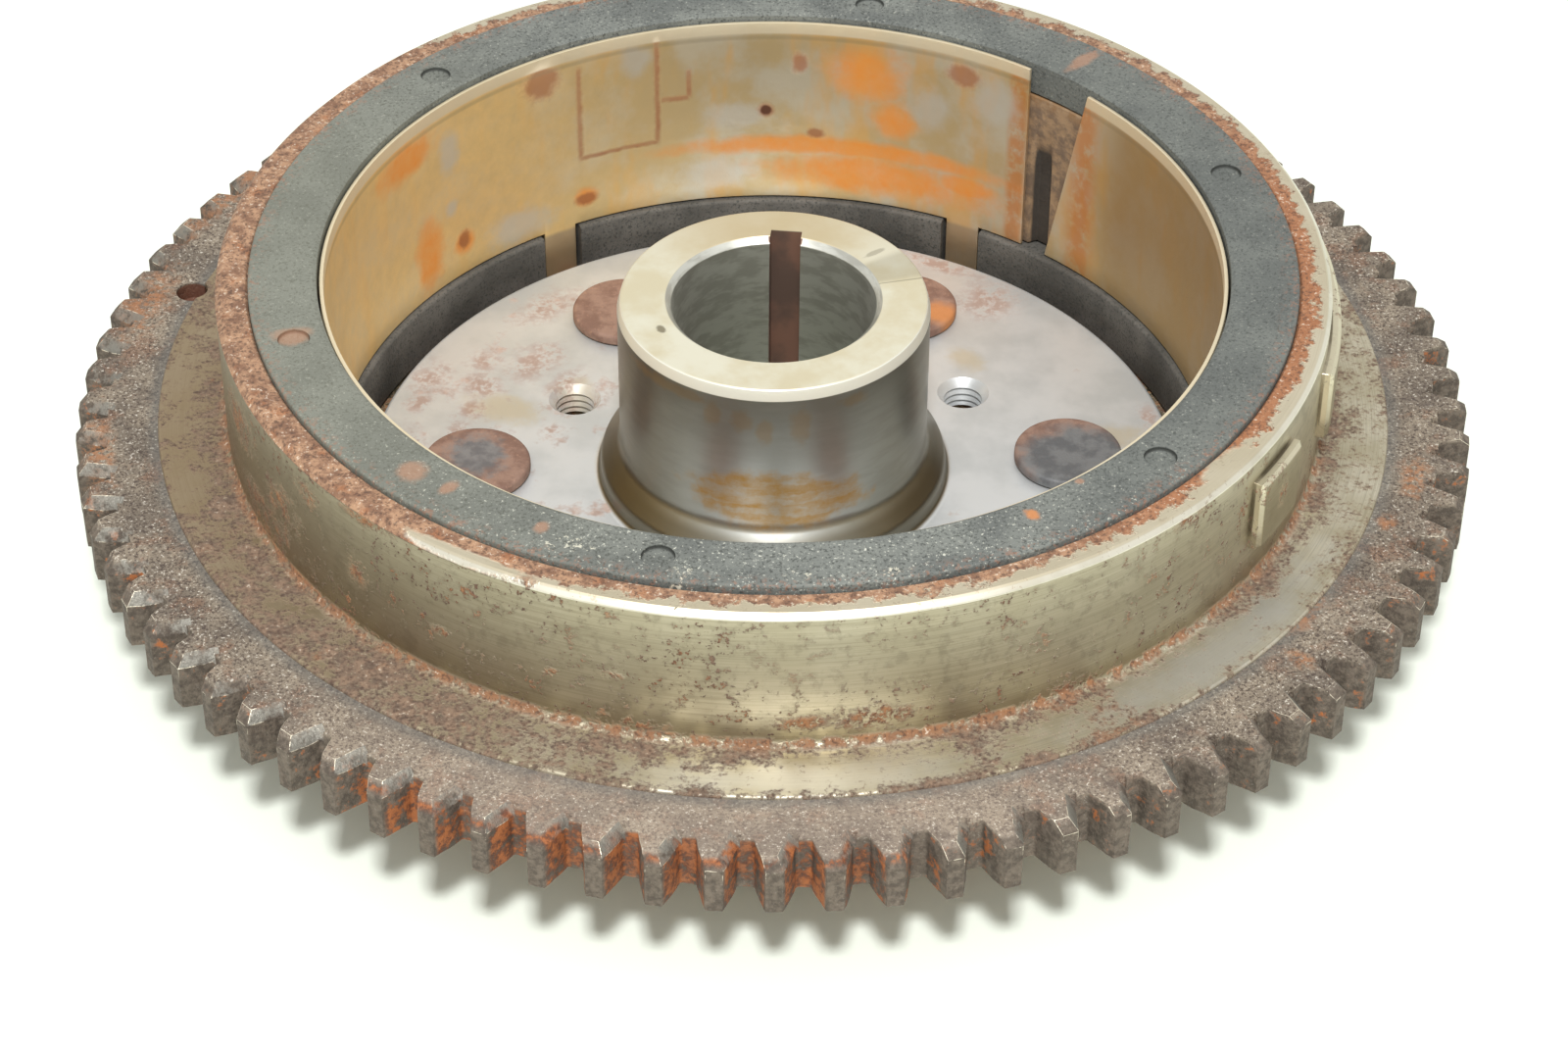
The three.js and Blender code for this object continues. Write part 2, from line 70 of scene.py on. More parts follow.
# %% [markdown]
# ## Sizes
#
# A machinist thinks in millimetres, so the sizes below are in millimetres and turn into metres only when a
# mesh is built. Whatever the CAD can tell is read from it: the box of a round piece gives its radius, its
# bottom and its top.

# %% Read the sizes that the frame gives
MM = 0.001


def round_size(node):
    """The outer radius, bottom and top of a round CAD node, in millimetres."""
    low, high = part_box(node)
    return (high.x - low.x) / 2 / MM, low.z / MM, high.z / MM


def centre_of(node):
    """The middle of a CAD node's box as a radius and an angle in degrees about the axis."""
    low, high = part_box(node)
    middle = (low + high) / 2 / MM
    return math.hypot(middle.x, middle.y), math.degrees(math.atan2(middle.y, middle.x))


GEAR_TIP, GEAR_BOTTOM, GEAR_TOP = round_size("ring_gear")
FLANGE_RADIUS, _, RIM = round_size("rotor_drum")
HUB_FLANGE, HUB_BOTTOM, HUB_TOP = round_size("hub")
COVER_RADIUS, COVER_FOOT, COVER_TOP = round_size("magnet_cover")
RING_RADIUS, RING_BOTTOM, RING_TOP = round_size("top_retaining_ring")
RIVET_HEAD, RIVET_BOTTOM, RIVET_TOP = round_size("rivet_1")
RIVET_CIRCLE, RIVET_ANGLE = centre_of("rivet_1")
_, SPACER_BOTTOM, SPACER_TOP = round_size("lower_spacer_1")
_, MAGNET_BOTTOM, MAGNET_TOP = round_size("magnet_1")
print(f"gear {2 * GEAR_TIP:.1f} mm across, rim at {RIM:.1f} mm, hub nose at {HUB_TOP:.1f} mm")

# %% [markdown]
# ## Turned pieces
#
# The drum, the hub, the rings and the rivets were all turned on a lathe, so each is an outline spun about an
# axis. An outline could be a curve with a Screw modifier, but the rim needs pads raised on it and the black
# ring needs dimples, and those are easier when every point of the spun grid passes through one function.
# Real edges are never sharp. Each corner of an outline can say how large its rounding is, and the rounding
# is what catches the light.

# %% Outline and spinning helpers
def outline(*corners):
    """A closed outline from (radius, height) or (radius, height, rounding) corners, in millimetres."""
    points = []
    for i, corner in enumerate(corners):
        here = Vector(corner[:2])
        rounding = corner[2] if len(corner) > 2 else 0
        if not rounding:
            points.append(here)
            continue
        before = (Vector(corners[i - 1][:2]) - here).normalized()
        after = (Vector(corners[(i + 1) % len(corners)][:2]) - here).normalized()
        half = before.angle(after) / 2
        start = here + before * rounding / math.tan(half)
        end = here + after * rounding / math.tan(half)
        centre = here + (before + after).normalized() * rounding / math.sin(half)
        steps = 4 if rounding < 1 else 7
        for k in range(steps + 1):
            direction = (start - centre).lerp(end - centre, k / steps).normalized()
            points.append(centre + direction * rounding)
    return np.array([tuple(p) for p in points])


def along(start, end, count):
    """Corners between two corners of an outline, so that a long wall has points to move."""
    return [tuple(np.array(start) + (np.array(end) - np.array(start)) * (i + 1) / (count + 1)) for i in range(count)]


def finish_mesh(name, bm, crease=32):
    """A Blender object from a bmesh: welded, facing out, smooth but for its creases."""
    bmesh.ops.remove_doubles(bm, verts=bm.verts, dist=1e-7)
    bmesh.ops.dissolve_degenerate(bm, edges=bm.edges, dist=1e-8)
    bmesh.ops.recalc_face_normals(bm, faces=bm.faces)
    mesh = bpy.data.meshes.new(name)
    bm.to_mesh(mesh)
    bm.free()
    mesh.shade_smooth()
    mesh.set_sharp_from_angle(angle=math.radians(crease))
    piece = bpy.data.objects.new(name, mesh)
    bpy.context.scene.collection.objects.link(piece)
    return piece


def turned(name, points, angles=None, steps=240, shape=None, closed=True, crease=32):
    """An outline spun about Z. `shape` may move each point: it takes and gives radius, angle and height."""
    if angles is None:
        angles = np.arange(steps) * 360 / steps
    angle, radius = np.meshgrid(np.radians(angles), points[:, 0], indexing="ij")
    height = np.broadcast_to(points[:, 1], radius.shape)
    if shape:
        radius, angle, height = shape(radius, angle, height)
    grid = np.stack([radius * np.cos(angle), radius * np.sin(angle), height], -1) * MM
    rows, columns = radius.shape
    bm = bmesh.new()
    verts = [bm.verts.new(p) for p in grid.reshape(-1, 3)]
    for i in range(rows if closed else rows - 1):
        for j in range(columns):
            a, b = i * columns, (i + 1) % rows * columns
            corners = (a + j, b + j, b + (j + 1) % columns, a + (j + 1) % columns)
            bm.faces.new([verts[k] for k in corners])
    if not closed:
        bm.faces.new(verts[:columns])
        bm.faces.new(verts[-columns:])
    return finish_mesh(name, bm, crease)


def report(piece):
    """Print what a piece came to."""
    piece.data.calc_loop_triangles()
    low, high = np.array(piece.bound_box).min(0) / MM, np.array(piece.bound_box).max(0) / MM
    print(f"{piece.name}: {len(piece.data.loop_triangles)} triangles, z {low[2]:.1f} to {high[2]:.1f} mm")


# %% [markdown]
# ## Copies round a circle
#
# Teeth, rivets, spacers, magnets and drilled holes all repeat round the axis. A Geometry Nodes tree does this
# well, because one tree with named inputs serves them all: it puts points on a circle, turns an instance of the
# template at each, makes the instances real, welds neighbours that touch and sets the material.

# %% The tree that repeats a template round the axis
def ring_of_copies_tree():
    """A Geometry Nodes tree: copies of one object at even steps round Z."""
    tree = bpy.data.node_groups.new("ring_of_copies", "GeometryNodeTree")
    face = tree.interface
    face.new_socket("Geometry", in_out="OUTPUT", socket_type="NodeSocketGeometry")
    face.new_socket("Geometry", in_out="INPUT", socket_type="NodeSocketGeometry")
    for label, kind in (
        ("Template", "NodeSocketObject"),
        ("Count", "NodeSocketInt"),
        ("Circle radius", "NodeSocketFloat"),
        ("First angle", "NodeSocketFloat"),
        ("Weld distance", "NodeSocketFloat"),
        ("Material", "NodeSocketMaterial"),
    ):
        face.new_socket(label, in_out="INPUT", socket_type=kind)

    def add(kind, **settings):
        node = tree.nodes.new(kind)
        for key, value in settings.items():
            setattr(node, key, value)
        return node

    def number(operation, first, second):
        node = add("ShaderNodeMath", operation=operation)
        for slot, value in zip(node.inputs, (first, second)):
            if isinstance(value, (int, float)):
                slot.default_value = value
            elif value is not None:
                tree.links.new(value, slot)
        return node.outputs[0]

    source = add("NodeGroupInput")
    index = add("GeometryNodeInputIndex")
    step = number("DIVIDE", 2 * math.pi, source.outputs["Count"])
    angle = number("ADD", number("MULTIPLY", index.outputs[0], step), source.outputs["First angle"])
    place = add("ShaderNodeCombineXYZ")
    across = number("MULTIPLY", number("COSINE", angle, None), source.outputs["Circle radius"])
    up = number("MULTIPLY", number("SINE", angle, None), source.outputs["Circle radius"])
    tree.links.new(across, place.inputs["X"])
    tree.links.new(up, place.inputs["Y"])
    points = add("GeometryNodePoints")
    tree.links.new(source.outputs["Count"], points.inputs["Count"])
    tree.links.new(place.outputs[0], points.inputs["Position"])
    template = add("GeometryNodeObjectInfo", transform_space="ORIGINAL")
    tree.links.new(source.outputs["Template"], template.inputs["Object"])
    turn = add("ShaderNodeCombineXYZ")
    tree.links.new(angle, turn.inputs["Z"])
    rotation = add("FunctionNodeEulerToRotation")
    tree.links.new(turn.outputs[0], rotation.inputs[0])
    copies = add("GeometryNodeInstanceOnPoints")
    tree.links.new(points.outputs[0], copies.inputs["Points"])
    tree.links.new(template.outputs["Geometry"], copies.inputs["Instance"])
    tree.links.new(rotation.outputs[0], copies.inputs["Rotation"])
    real = add("GeometryNodeRealizeInstances")
    tree.links.new(copies.outputs[0], real.inputs[0])
    weld = add("GeometryNodeMergeByDistance")
    tree.links.new(real.outputs[0], weld.inputs["Geometry"])
    tree.links.new(source.outputs["Weld distance"], weld.inputs["Distance"])
    paint = add("GeometryNodeSetMaterial")
    tree.links.new(weld.outputs[0], paint.inputs["Geometry"])
    tree.links.new(source.outputs["Material"], paint.inputs["Material"])
    result = add("NodeGroupOutput")
    tree.links.new(paint.outputs[0], result.inputs[0])
    return tree


RING_OF_COPIES = ring_of_copies_tree()


def plain_mesh(piece):
    """Apply what a piece's modifiers make, and leave a plain mesh without them."""
    bpy.context.view_layer.update()
    graph = bpy.context.evaluated_depsgraph_get()
    made = bpy.data.meshes.new_from_object(piece.evaluated_get(graph))
    piece.modifiers.clear()
    piece.data = made
    return piece


def copies_round(name, template, count, circle=0.0, first=0.0, weld=0.0, material=None):
    """`count` copies of a template round the axis as one plain mesh. The template is used up."""
    piece = bpy.data.objects.new(name, bpy.data.meshes.new(name))
    bpy.context.scene.collection.objects.link(piece)
    modifier = piece.modifiers.new("copies", "NODES")
    modifier.node_group = RING_OF_COPIES
    values = {
        "Template": template,
        "Count": count,
        "Circle radius": circle * MM,
        "First angle": math.radians(first),
        "Weld distance": weld * MM,
        "Material": material,
    }
    for socket in RING_OF_COPIES.interface.items_tree:
        if socket.name in values and socket.in_out == "INPUT":
            modifier[socket.identifier] = values[socket.name]
    plain_mesh(piece)
    bpy.data.objects.remove(template)
    return piece


LEVEL_NORMAL = 0.9999
SLIVER = 3e-6


def close_slivers(piece):
    """Merge points a few thousandths of a millimetre apart, which a Boolean leaves where edges nearly meet."""
    bm = bmesh.new()
    bm.from_mesh(piece.data)
    bmesh.ops.remove_doubles(bm, verts=bm.verts, dist=SLIVER)
    bmesh.ops.dissolve_degenerate(bm, edges=bm.edges, dist=SLIVER / 10)
    bm.to_mesh(piece.data)
    bm.free()


def cut(piece, cutter):
    """Take a cutter away from a piece, and throw the cutter away. Level faces are then shaded flat."""
    modifier = piece.modifiers.new("cut", "BOOLEAN")
    modifier.object = cutter
    modifier.operation = "DIFFERENCE"
    modifier.solver = "EXACT"
    plain_mesh(piece)
    bpy.data.objects.remove(cutter)
    close_slivers(piece)
    piece.data.set_sharp_from_angle(angle=math.radians(32))
    level = [abs(face.normal.z) > LEVEL_NORMAL for face in piece.data.polygons]
    piece.data.polygons.foreach_set("use_smooth", np.logical_not(level))
    return piece

# %% [markdown]
# ## Camera, floor and light
#
# The rotor stands on a white table under a broad soft light, seen from the front and above through a long
# lens. The camera's three axes are worked out from its elevation and a slight roll, so its matrix can be set
# at once. A white world lights the shadows, and one large area light in front gives the metal something to
# reflect and the teeth a soft shadow.

# %% Camera, floor and light
ELEVATION, ROLL = math.radians(38.86), math.radians(0.43)
LENS, SENSOR = 88.30, 36
camera_data = bpy.data.cameras.new("camera")
camera_data.lens, camera_data.sensor_width = LENS, SENSOR
camera_data.clip_start, camera_data.clip_end = 0.01, 20
camera = bpy.data.objects.new("camera", camera_data)
bpy.context.scene.collection.objects.link(camera)
bpy.context.scene.camera = camera
forward = Vector((0, math.cos(ELEVATION), -math.sin(ELEVATION)))
level_right = Vector((1, 0, 0))
level_up = level_right.cross(forward)
right = level_right * math.cos(ROLL) + level_up * math.sin(ROLL)
up = level_up * math.cos(ROLL) - level_right * math.sin(ROLL)
turn = Matrix((right, up, -forward)).transposed().to_4x4()
camera.matrix_world = Matrix.Translation((0.00149, -0.39496, 0.31711)) @ turn

FLOOR_SIZE = 6.0
floor_bm = bmesh.new()
bmesh.ops.create_grid(floor_bm, x_segments=8, y_segments=8, size=FLOOR_SIZE / 2)
floor = finish_mesh("floor", floor_bm)
floor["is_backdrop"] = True
floor_paint = bpy.data.materials.new("white_table")
floor_paint.use_nodes = True
floor_shader = floor_paint.node_tree.nodes["Principled BSDF"]
floor_shader.inputs["Base Color"].default_value = (0.82, 0.87, 0.79, 1)
floor_shader.inputs["Roughness"].default_value = 0.6
floor_shader.inputs["Specular IOR Level"].default_value = 0.2
floor.data.materials.append(floor_paint)

world = bpy.data.worlds.new("white_room")
world.use_nodes = True
world.node_tree.nodes["Background"].inputs["Color"].default_value = (1, 1, 0.97, 1)
world.node_tree.nodes["Background"].inputs["Strength"].default_value = 0.85
bpy.context.scene.world = world


def soft_light(name, azimuth, elevation, distance, size, power, colour=(1, 1, 1)):
    """A square area light that faces the rotor. Azimuth 0 is the camera's side, 90 is the right."""
    data = bpy.data.lights.new(name, "AREA")
    data.shape, data.size, data.energy, data.color = "SQUARE", size, power, colour
    lamp = bpy.data.objects.new(name, data)
    bpy.context.scene.collection.objects.link(lamp)
    a, e = math.radians(azimuth), math.radians(elevation)
    back = Vector((math.sin(a) * math.cos(e), -math.cos(a) * math.cos(e), math.sin(e)))
    lamp.location = back * distance
    lamp.rotation_mode = "QUATERNION"
    lamp.rotation_quaternion = back.to_track_quat("Z", "Y")
    return lamp


soft_light("front_softbox", 0, 57, 1.2, 0.14, 13)
bpy.context.scene.view_settings.view_transform = "Standard"
bpy.context.scene.view_settings.look = "None"
print("camera at", [round(v, 4) for v in camera.matrix_world.translation])

# %% [markdown]
# ## The drum
#
# The drum is one steel pressing, turned all over: a floor, a wall and a flange outside that carries the gear.
# Two pads stand proud of the wall on one side and trigger the ignition sensor. The wall's spun grid has
# extra columns at the pads' ends and extra rows at their tops and bottoms. A small function then lifts the
# points that lie on a pad, and its bevel comes from how far inside the pad's edge a point is.

# %% The drum's outline and pads
WALL_OUTER, WALL_INNER, FLOOR_TOP, FLOOR_HOLE = 69.45, 65.4, 4.3, 24.5
FLANGE_BOTTOM, FLANGE_TOP, FLANGE_EDGE = 14.2, 22.3, 78.18
PADS = ((-35.3, -26.8), (-15.5, 13.0))
PAD_BOTTOM, PAD_TOP, PAD_PROUD, PAD_BEVEL = 28.1, 37.8, 1.5, 0.5
STEP_WIDTH = 0.05  # how wide the almost upright side of a pad is

RIM_CHAMFER = 0.7
drum_outline = outline(
    (FLOOR_HOLE, 0, 0.3),
    (WALL_OUTER, 0, 3.0),
    (WALL_OUTER, FLANGE_BOTTOM, 0.5),
    (FLANGE_EDGE, FLANGE_BOTTOM, 0.4),
    (FLANGE_EDGE, FLANGE_TOP, 0.36),
    (WALL_OUTER, FLANGE_TOP, 1.0),
    *along((WALL_OUTER, 23.5), (WALL_OUTER, PAD_BOTTOM - 0.2), 3),
    *[(WALL_OUTER, PAD_BOTTOM + d) for d in (0, STEP_WIDTH, PAD_BEVEL)],
    *along((WALL_OUTER, PAD_BOTTOM + PAD_BEVEL), (WALL_OUTER, PAD_TOP - PAD_BEVEL), 6),
    *[(WALL_OUTER, PAD_TOP - d) for d in (PAD_BEVEL, STEP_WIDTH, 0)],
    (WALL_OUTER, RIM - RIM_CHAMFER, 0.2),
    (WALL_OUTER - RIM_CHAMFER, RIM, 0.2),
    (WALL_INNER + 0.3, RIM, 0.2),
    (WALL_INNER, RIM - 0.4, 0.2),
    (WALL_INNER, FLOOR_TOP, 0.8),
    (FLOOR_HOLE, FLOOR_TOP, 0.3),
)


def lift_pads(radius, angle, height):
    """Raise the wall's points that lie on a pad."""
    on_wall = (radius > WALL_OUTER - 0.01) & (height > FLANGE_TOP) & (height < RIM - 1)
    from_end = np.full(radius.shape, -1.0)
    for start, end in PADS:
        middle, half = math.radians((start + end) / 2), math.radians((end - start) / 2)
        away = np.abs((angle - middle + math.pi) % (2 * math.pi) - math.pi)
        from_end = np.maximum(from_end, (half - away) * WALL_OUTER)
    inside = np.minimum(from_end, np.minimum(height - PAD_BOTTOM, PAD_TOP - height))
    rise = np.clip(inside / STEP_WIDTH, 0, 1) * (PAD_PROUD - PAD_BEVEL)
    rise += np.clip(inside - STEP_WIDTH, 0, PAD_BEVEL)
    return radius + np.where(on_wall, rise, 0), angle, height


pad_angles = [
    edge + sign * math.degrees(inwards / WALL_OUTER)
    for pad in PADS
    for edge, sign in zip(pad, (1, -1))
    for inwards in (0, STEP_WIDTH, PAD_BEVEL + STEP_WIDTH)
]
drum_angles = np.unique(np.round(np.concatenate([np.arange(-180, 180, 1.25), pad_angles]), 4))
drum = turned("rotor_drum_body", drum_outline, drum_angles, shape=lift_pads)
report(drum)

# %% [markdown]
# ## Holes through the floor
#
# Six rivets and three puller screws pass through the drum's floor. One cutter is turned for each kind of
# hole, repeated round the axis with the tree above, and taken away in one Boolean. A repeated cutter saves
# work, and every hole comes out the same.

# %% The holes in the drum
RIVET_COUNT, SHANK = 6, 4.0
PULLER_COUNT, PULLER_CIRCLE, PULLER_ANGLE = 3, 29.9, 32.3
CLEARANCE = 0.3
OVERRUN = 1.0


def round_cutters(name, profile, count, circle, first, steps=48):
    """Round cutters on a circle. The profile's corners start and end on the cutter's own axis."""
    stick = turned(name, outline(*profile), steps=steps)
    return copies_round(name, stick, count, circle, first)


rivet_holes = (
    (0, -OVERRUN),
    (5.5, -OVERRUN),
    (5.5, 0),
    (SHANK + CLEARANCE, 1.9),
    (SHANK + CLEARANCE, FLOOR_TOP + OVERRUN),
    (0, FLOOR_TOP + OVERRUN),
)
puller_holes = ((0, -OVERRUN), (3.3, -OVERRUN), (3.3, FLOOR_TOP + OVERRUN), (0, FLOOR_TOP + OVERRUN))
cut(drum, round_cutters("rivet_holes", rivet_holes, RIVET_COUNT, RIVET_CIRCLE, RIVET_ANGLE))
cut(drum, round_cutters("puller_holes", puller_holes, PULLER_COUNT, PULLER_CIRCLE, PULLER_ANGLE))
report(drum)

# %% [markdown]
# ## The starter ring gear
#
# The starter's pinion jumps into this gear from above, so each tooth has a wide bevel on one flank at the top
# to let the pinion in, and the ring's upper outer edge is chamfered. All 82 teeth are alike, so one sector of
# the ring with a single tooth is drawn from the involute rule and cut, its edges are rounded by a Bevel
# modifier, and the tree repeats it and welds the joints. The sector's two flat sides are removed first, or
# they would stay inside the ring as walls.

# %% One tooth of the gear
TEETH, MODULE, ADDENDUM = 82, 25.4 / 12, 25.4 / 14
PITCH_RADIUS = MODULE * TEETH / 2
TIP_RADIUS = PITCH_RADIUS + ADDENDUM
ROOT_RADIUS = PITCH_RADIUS - 1.25 * ADDENDUM
GEAR_BORE, GEAR_CHAMFER = 77.9, 1.4
FIRST_TOOTH = -89.5
PRESSURE = math.radians(20)
BEVEL_WIDTH, BEVEL_DEPTH = 1.1, 1.3


def half_tooth(radius):
    """Half of a tooth's angle at a radius, for an involute flank."""
    flank = math.acos(min(1, PITCH_RADIUS * math.cos(PRESSURE) / radius))
    start = math.tan(PRESSURE) - PRESSURE
    return math.pi / (2 * TEETH) + start - (math.tan(flank) - flank)


def tooth_outline():
    """The outline of one sector of the ring, in the plane, anticlockwise from its bore."""
    sector = math.pi / TEETH
    root_round = 0.55 / ROOT_RADIUS
    flank = [(r, half_tooth(r)) for r in np.linspace(ROOT_RADIUS + 0.45, TIP_RADIUS, 7)]
    foot = flank[0][1] + root_round
    fillet = []
    for t in np.linspace(0, 1, 5)[:-1]:
        fillet.append((ROOT_RADIUS + 0.45 * t * t, foot - root_round * (2 * t - t * t)))
    half = [(ROOT_RADIUS, sector)] + fillet + flank
    right_side = [(r, -a) for r, a in half]
    left_side = [(r, a) for r, a in reversed(half)]
    tip_land = [(TIP_RADIUS, a) for a in np.linspace(-half_tooth(TIP_RADIUS), half_tooth(TIP_RADIUS), 5)[1:-1]]
    bore = [(GEAR_BORE, a) for a in np.linspace(sector, -sector, 4)]
    return [(r * math.cos(a), r * math.sin(a)) for r, a in right_side + tip_land + left_side + bore]


def prism(name, points, bottom, top):
    """A closed upright prism over a plane outline, in millimetres."""
    bm = bmesh.new()
    lower = [bm.verts.new((x * MM, y * MM, bottom * MM)) for x, y in points]
    upper = [bm.verts.new((x * MM, y * MM, top * MM)) for x, y in points]
    bm.faces.new(reversed(lower))
    bm.faces.new(upper)
    for i in range(len(points)):
        j = (i + 1) % len(points)
        bm.faces.new((lower[i], lower[j], upper[j], upper[i]))
    return finish_mesh(name, bm)


def bevel_cutter():
    """The wedge that bevels the top of the tooth's anticlockwise flank."""
    root, tip = (
        Vector((r * math.cos(half_tooth(r)), r * math.sin(half_tooth(r)), GEAR_TOP))
        for r in (ROOT_RADIUS, TIP_RADIUS)
    )
    run = (tip - root).normalized()
    outward = Vector((0, 0, 1)).cross(run)
    extra = 0.25
    ends = root - run * extra * 3, tip + run * extra * 3
    wedge = (
        (-BEVEL_WIDTH * (1 + extra), BEVEL_DEPTH * extra),
        (BEVEL_WIDTH * extra, -BEVEL_DEPTH * (1 + extra)),
        (BEVEL_WIDTH * extra, BEVEL_DEPTH * extra),
    )
    bm = bmesh.new()
    rings = [[bm.verts.new((e + outward * w + Vector((0, 0, h))) * MM) for w, h in wedge] for e in ends]
    bm.faces.new(rings[0])
    bm.faces.new(reversed(rings[1]))
    for i in range(3):
        j = (i + 1) % 3
        bm.faces.new((rings[0][i], rings[1][i], rings[1][j], rings[0][j]))
    return finish_mesh("bevel_cutter", bm)


sector_angle = 180 / TEETH
chamfer_cutter = turned(
    "chamfer_cutter",
    outline(
        (TIP_RADIUS + OVERRUN, GEAR_TOP - GEAR_CHAMFER - OVERRUN),
        (TIP_RADIUS + OVERRUN, GEAR_TOP + OVERRUN),
        (TIP_RADIUS - GEAR_CHAMFER - OVERRUN, GEAR_TOP + OVERRUN),
    ),
    np.linspace(-1.5 * sector_angle, 1.5 * sector_angle, 13),
    closed=False,
)
tooth = prism("tooth", tooth_outline(), GEAR_BOTTOM, GEAR_TOP)
cut(tooth, chamfer_cutter)
cut(tooth, bevel_cutter())
report(tooth)

# %% [markdown]
# ## From one tooth to the whole ring
#
# The Bevel modifier marks its new faces with a second material slot. That mark becomes a face attribute called
# "edge", which the paint later uses to show where rust has rubbed off the corners. A used gear isn't exact,
# so a little smooth noise moves every point.

# %% The ring of teeth
EDGE_ROUND, GEAR_WELD, GEAR_WEAR = 0.26, 0.004, 0.14


def drop_side_walls(piece, half_angle):
    """Remove the faces that lie in the two planes where one sector joins the next."""
    bm = bmesh.new()
    bm.from_mesh(piece.data)
    walls = [
        face
        for face in bm.faces
        if all(abs(abs(math.atan2(v.co.y, v.co.x)) - half_angle) < 1e-6 for v in face.verts)
        and abs(face.normal.z) < 0.5
    ]
    bmesh.ops.delete(bm, geom=walls, context="FACES_ONLY")
    bm.to_mesh(piece.data)
    bm.free()


def round_edges(piece, width, segments=2, angle=28, profile=0.5):
    """Round a piece's sharp edges and keep the new faces' mark as the attribute `edge`."""
    bevel = piece.modifiers.new("edges", "BEVEL")
    bevel.width, bevel.segments, bevel.angle_limit = width * MM, segments, math.radians(angle)
    bevel.limit_method, bevel.profile, bevel.material = "ANGLE", profile, 1
    bevel.use_clamp_overlap = True
    for _ in range(2 - len(piece.data.materials)):
        piece.data.materials.append(None)
    plain_mesh(piece)
    mark = np.zeros(len(piece.data.polygons), np.int32)
    piece.data.polygons.foreach_get("material_index", mark)
    edge = piece.data.attributes.new("edge", "FLOAT", "FACE")
    edge.data.foreach_set("value", mark.astype(np.float32))
    piece.data.polygons.foreach_set("material_index", np.zeros_like(mark))
    piece.data.materials.clear()
    return piece


def wear(piece, amount, size, limit_radius=None, bottom=None, top=None, seed=0.0):
    """Move each point a little by smooth noise, but never past the given radius, bottom or top."""
    for vertex in piece.data.vertices:
        push = noise.noise_vector(vertex.co / (size * MM) + Vector((seed, seed, seed)))
        vertex.co += push * amount * MM
        reach = vertex.co.xy.length / MM
        if limit_radius and reach > limit_radius:
            vertex.co.xy *= limit_radius / reach
        if top:
            vertex.co.z = min(max(vertex.co.z, bottom * MM), top * MM)
    piece.data.update()


def mark_bevel(piece):
    """Mark the lead-in bevel's own faces, which the pinion polishes."""
    mark = [0.5 < f.normal.z < 0.69 and f.normal.y > 0.5 for f in piece.data.polygons]
    piece.data.attributes.new("bevel", "FLOAT", "FACE").data.foreach_set("value", np.array(mark, np.float32))


drop_side_walls(tooth, math.pi / TEETH)
round_edges(tooth, EDGE_ROUND)
mark_bevel(tooth)
report(tooth)
gear = copies_round("starter_ring_gear", tooth, TEETH, first=FIRST_TOOTH, weld=GEAR_WELD)
wear(gear, GEAR_WEAR, 2.2, GEAR_TIP, GEAR_BOTTOM, GEAR_TOP)
JOINT_HOLE_CIRCLE, JOINT_HOLE_ANGLE = 79.2, 166


def joint_hole():
    """The drill that went down into the joint between the flange and the gear."""
    drill = outline((0, GEAR_TOP - 3.2), (2.1, GEAR_TOP - 2.4), (2.1, GEAR_TOP + 1), (0, GEAR_TOP + 1))
    return copies_round("joint_hole", turned("drill", drill, steps=40), 1, JOINT_HOLE_CIRCLE, JOINT_HOLE_ANGLE)


cut(gear, joint_hole())
cut(drum, joint_hole())
report(gear)

# %% [markdown]
# ## The hub
#
# The hub is turned from one bar: a wide flange that the rivets hold, a collar and a nose, with a bore that
# tapers like the crankshaft's end. The keyway is broached along the bore, and three tapped holes take a
# puller's screws. It is spun like the drum, then the keyway, the rivet holes and the tapped holes are cut.
# A tapped hole's thread is a stack of V grooves, which the cutter's own outline gives.

# %% The hub
HUB_RADIUS, COLLAR_RADIUS, COLLAR_TOP = 19.8, 22.4, 12.6
HUB_FLANGE_TOP, HUB_UNDER, SPIGOT = 8.6, 4.6, 24.2
BORE_TOP, BORE_TAPER, SEAT_RADIUS, SEAT_TOP = 13.0, 0.1, 16.5, 2.5
KEY_WIDTH, KEY_REACH, KEY_ANGLE = 4.0, 14.9, 84


def bore_radius(height):
    """The tapered bore's radius at a height. It narrows downward."""
    return BORE_TOP - (HUB_TOP - height) * BORE_TAPER / 2


hub = turned(
    "hub_body",
    outline(
        (bore_radius(SEAT_TOP), SEAT_TOP, 0.2),
        (SEAT_RADIUS, SEAT_TOP, 0.3),
        (SEAT_RADIUS, HUB_BOTTOM, 0.2),
        (SPIGOT, HUB_BOTTOM, 0.3),
        (SPIGOT, HUB_UNDER),
        (HUB_FLANGE, HUB_UNDER, 0.3),
        (HUB_FLANGE, HUB_FLANGE_TOP, 0.5),
        (COLLAR_RADIUS, HUB_FLANGE_TOP, 0.9),
        (COLLAR_RADIUS, COLLAR_TOP - 1.7, 1.6),
        (HUB_RADIUS, COLLAR_TOP + 1.3, 2.2),
        *along((HUB_RADIUS, COLLAR_TOP + 2.5), (HUB_RADIUS, HUB_TOP - 1.8), 4),
        (HUB_RADIUS, HUB_TOP - 1.5, 0.3),
        (HUB_RADIUS - 0.4, HUB_TOP, 0.3),
        (bore_radius(HUB_TOP - 0.8) + 0.8, HUB_TOP, 0.25),
        (bore_radius(HUB_TOP - 0.8), HUB_TOP - 0.8, 0.25),
    ),
    steps=288,
)
thread = [(2.55 + 0.28 * (k % 2), 0.5 + 0.5 * k) for k in range(15)]
tapped_hole = [(0, -OVERRUN), (2.55, -OVERRUN)] + thread + [(3.35, HUB_FLANGE_TOP - 0.1), (4.2, HUB_FLANGE_TOP + 0.6), (0, HUB_FLANGE_TOP + 0.6)]
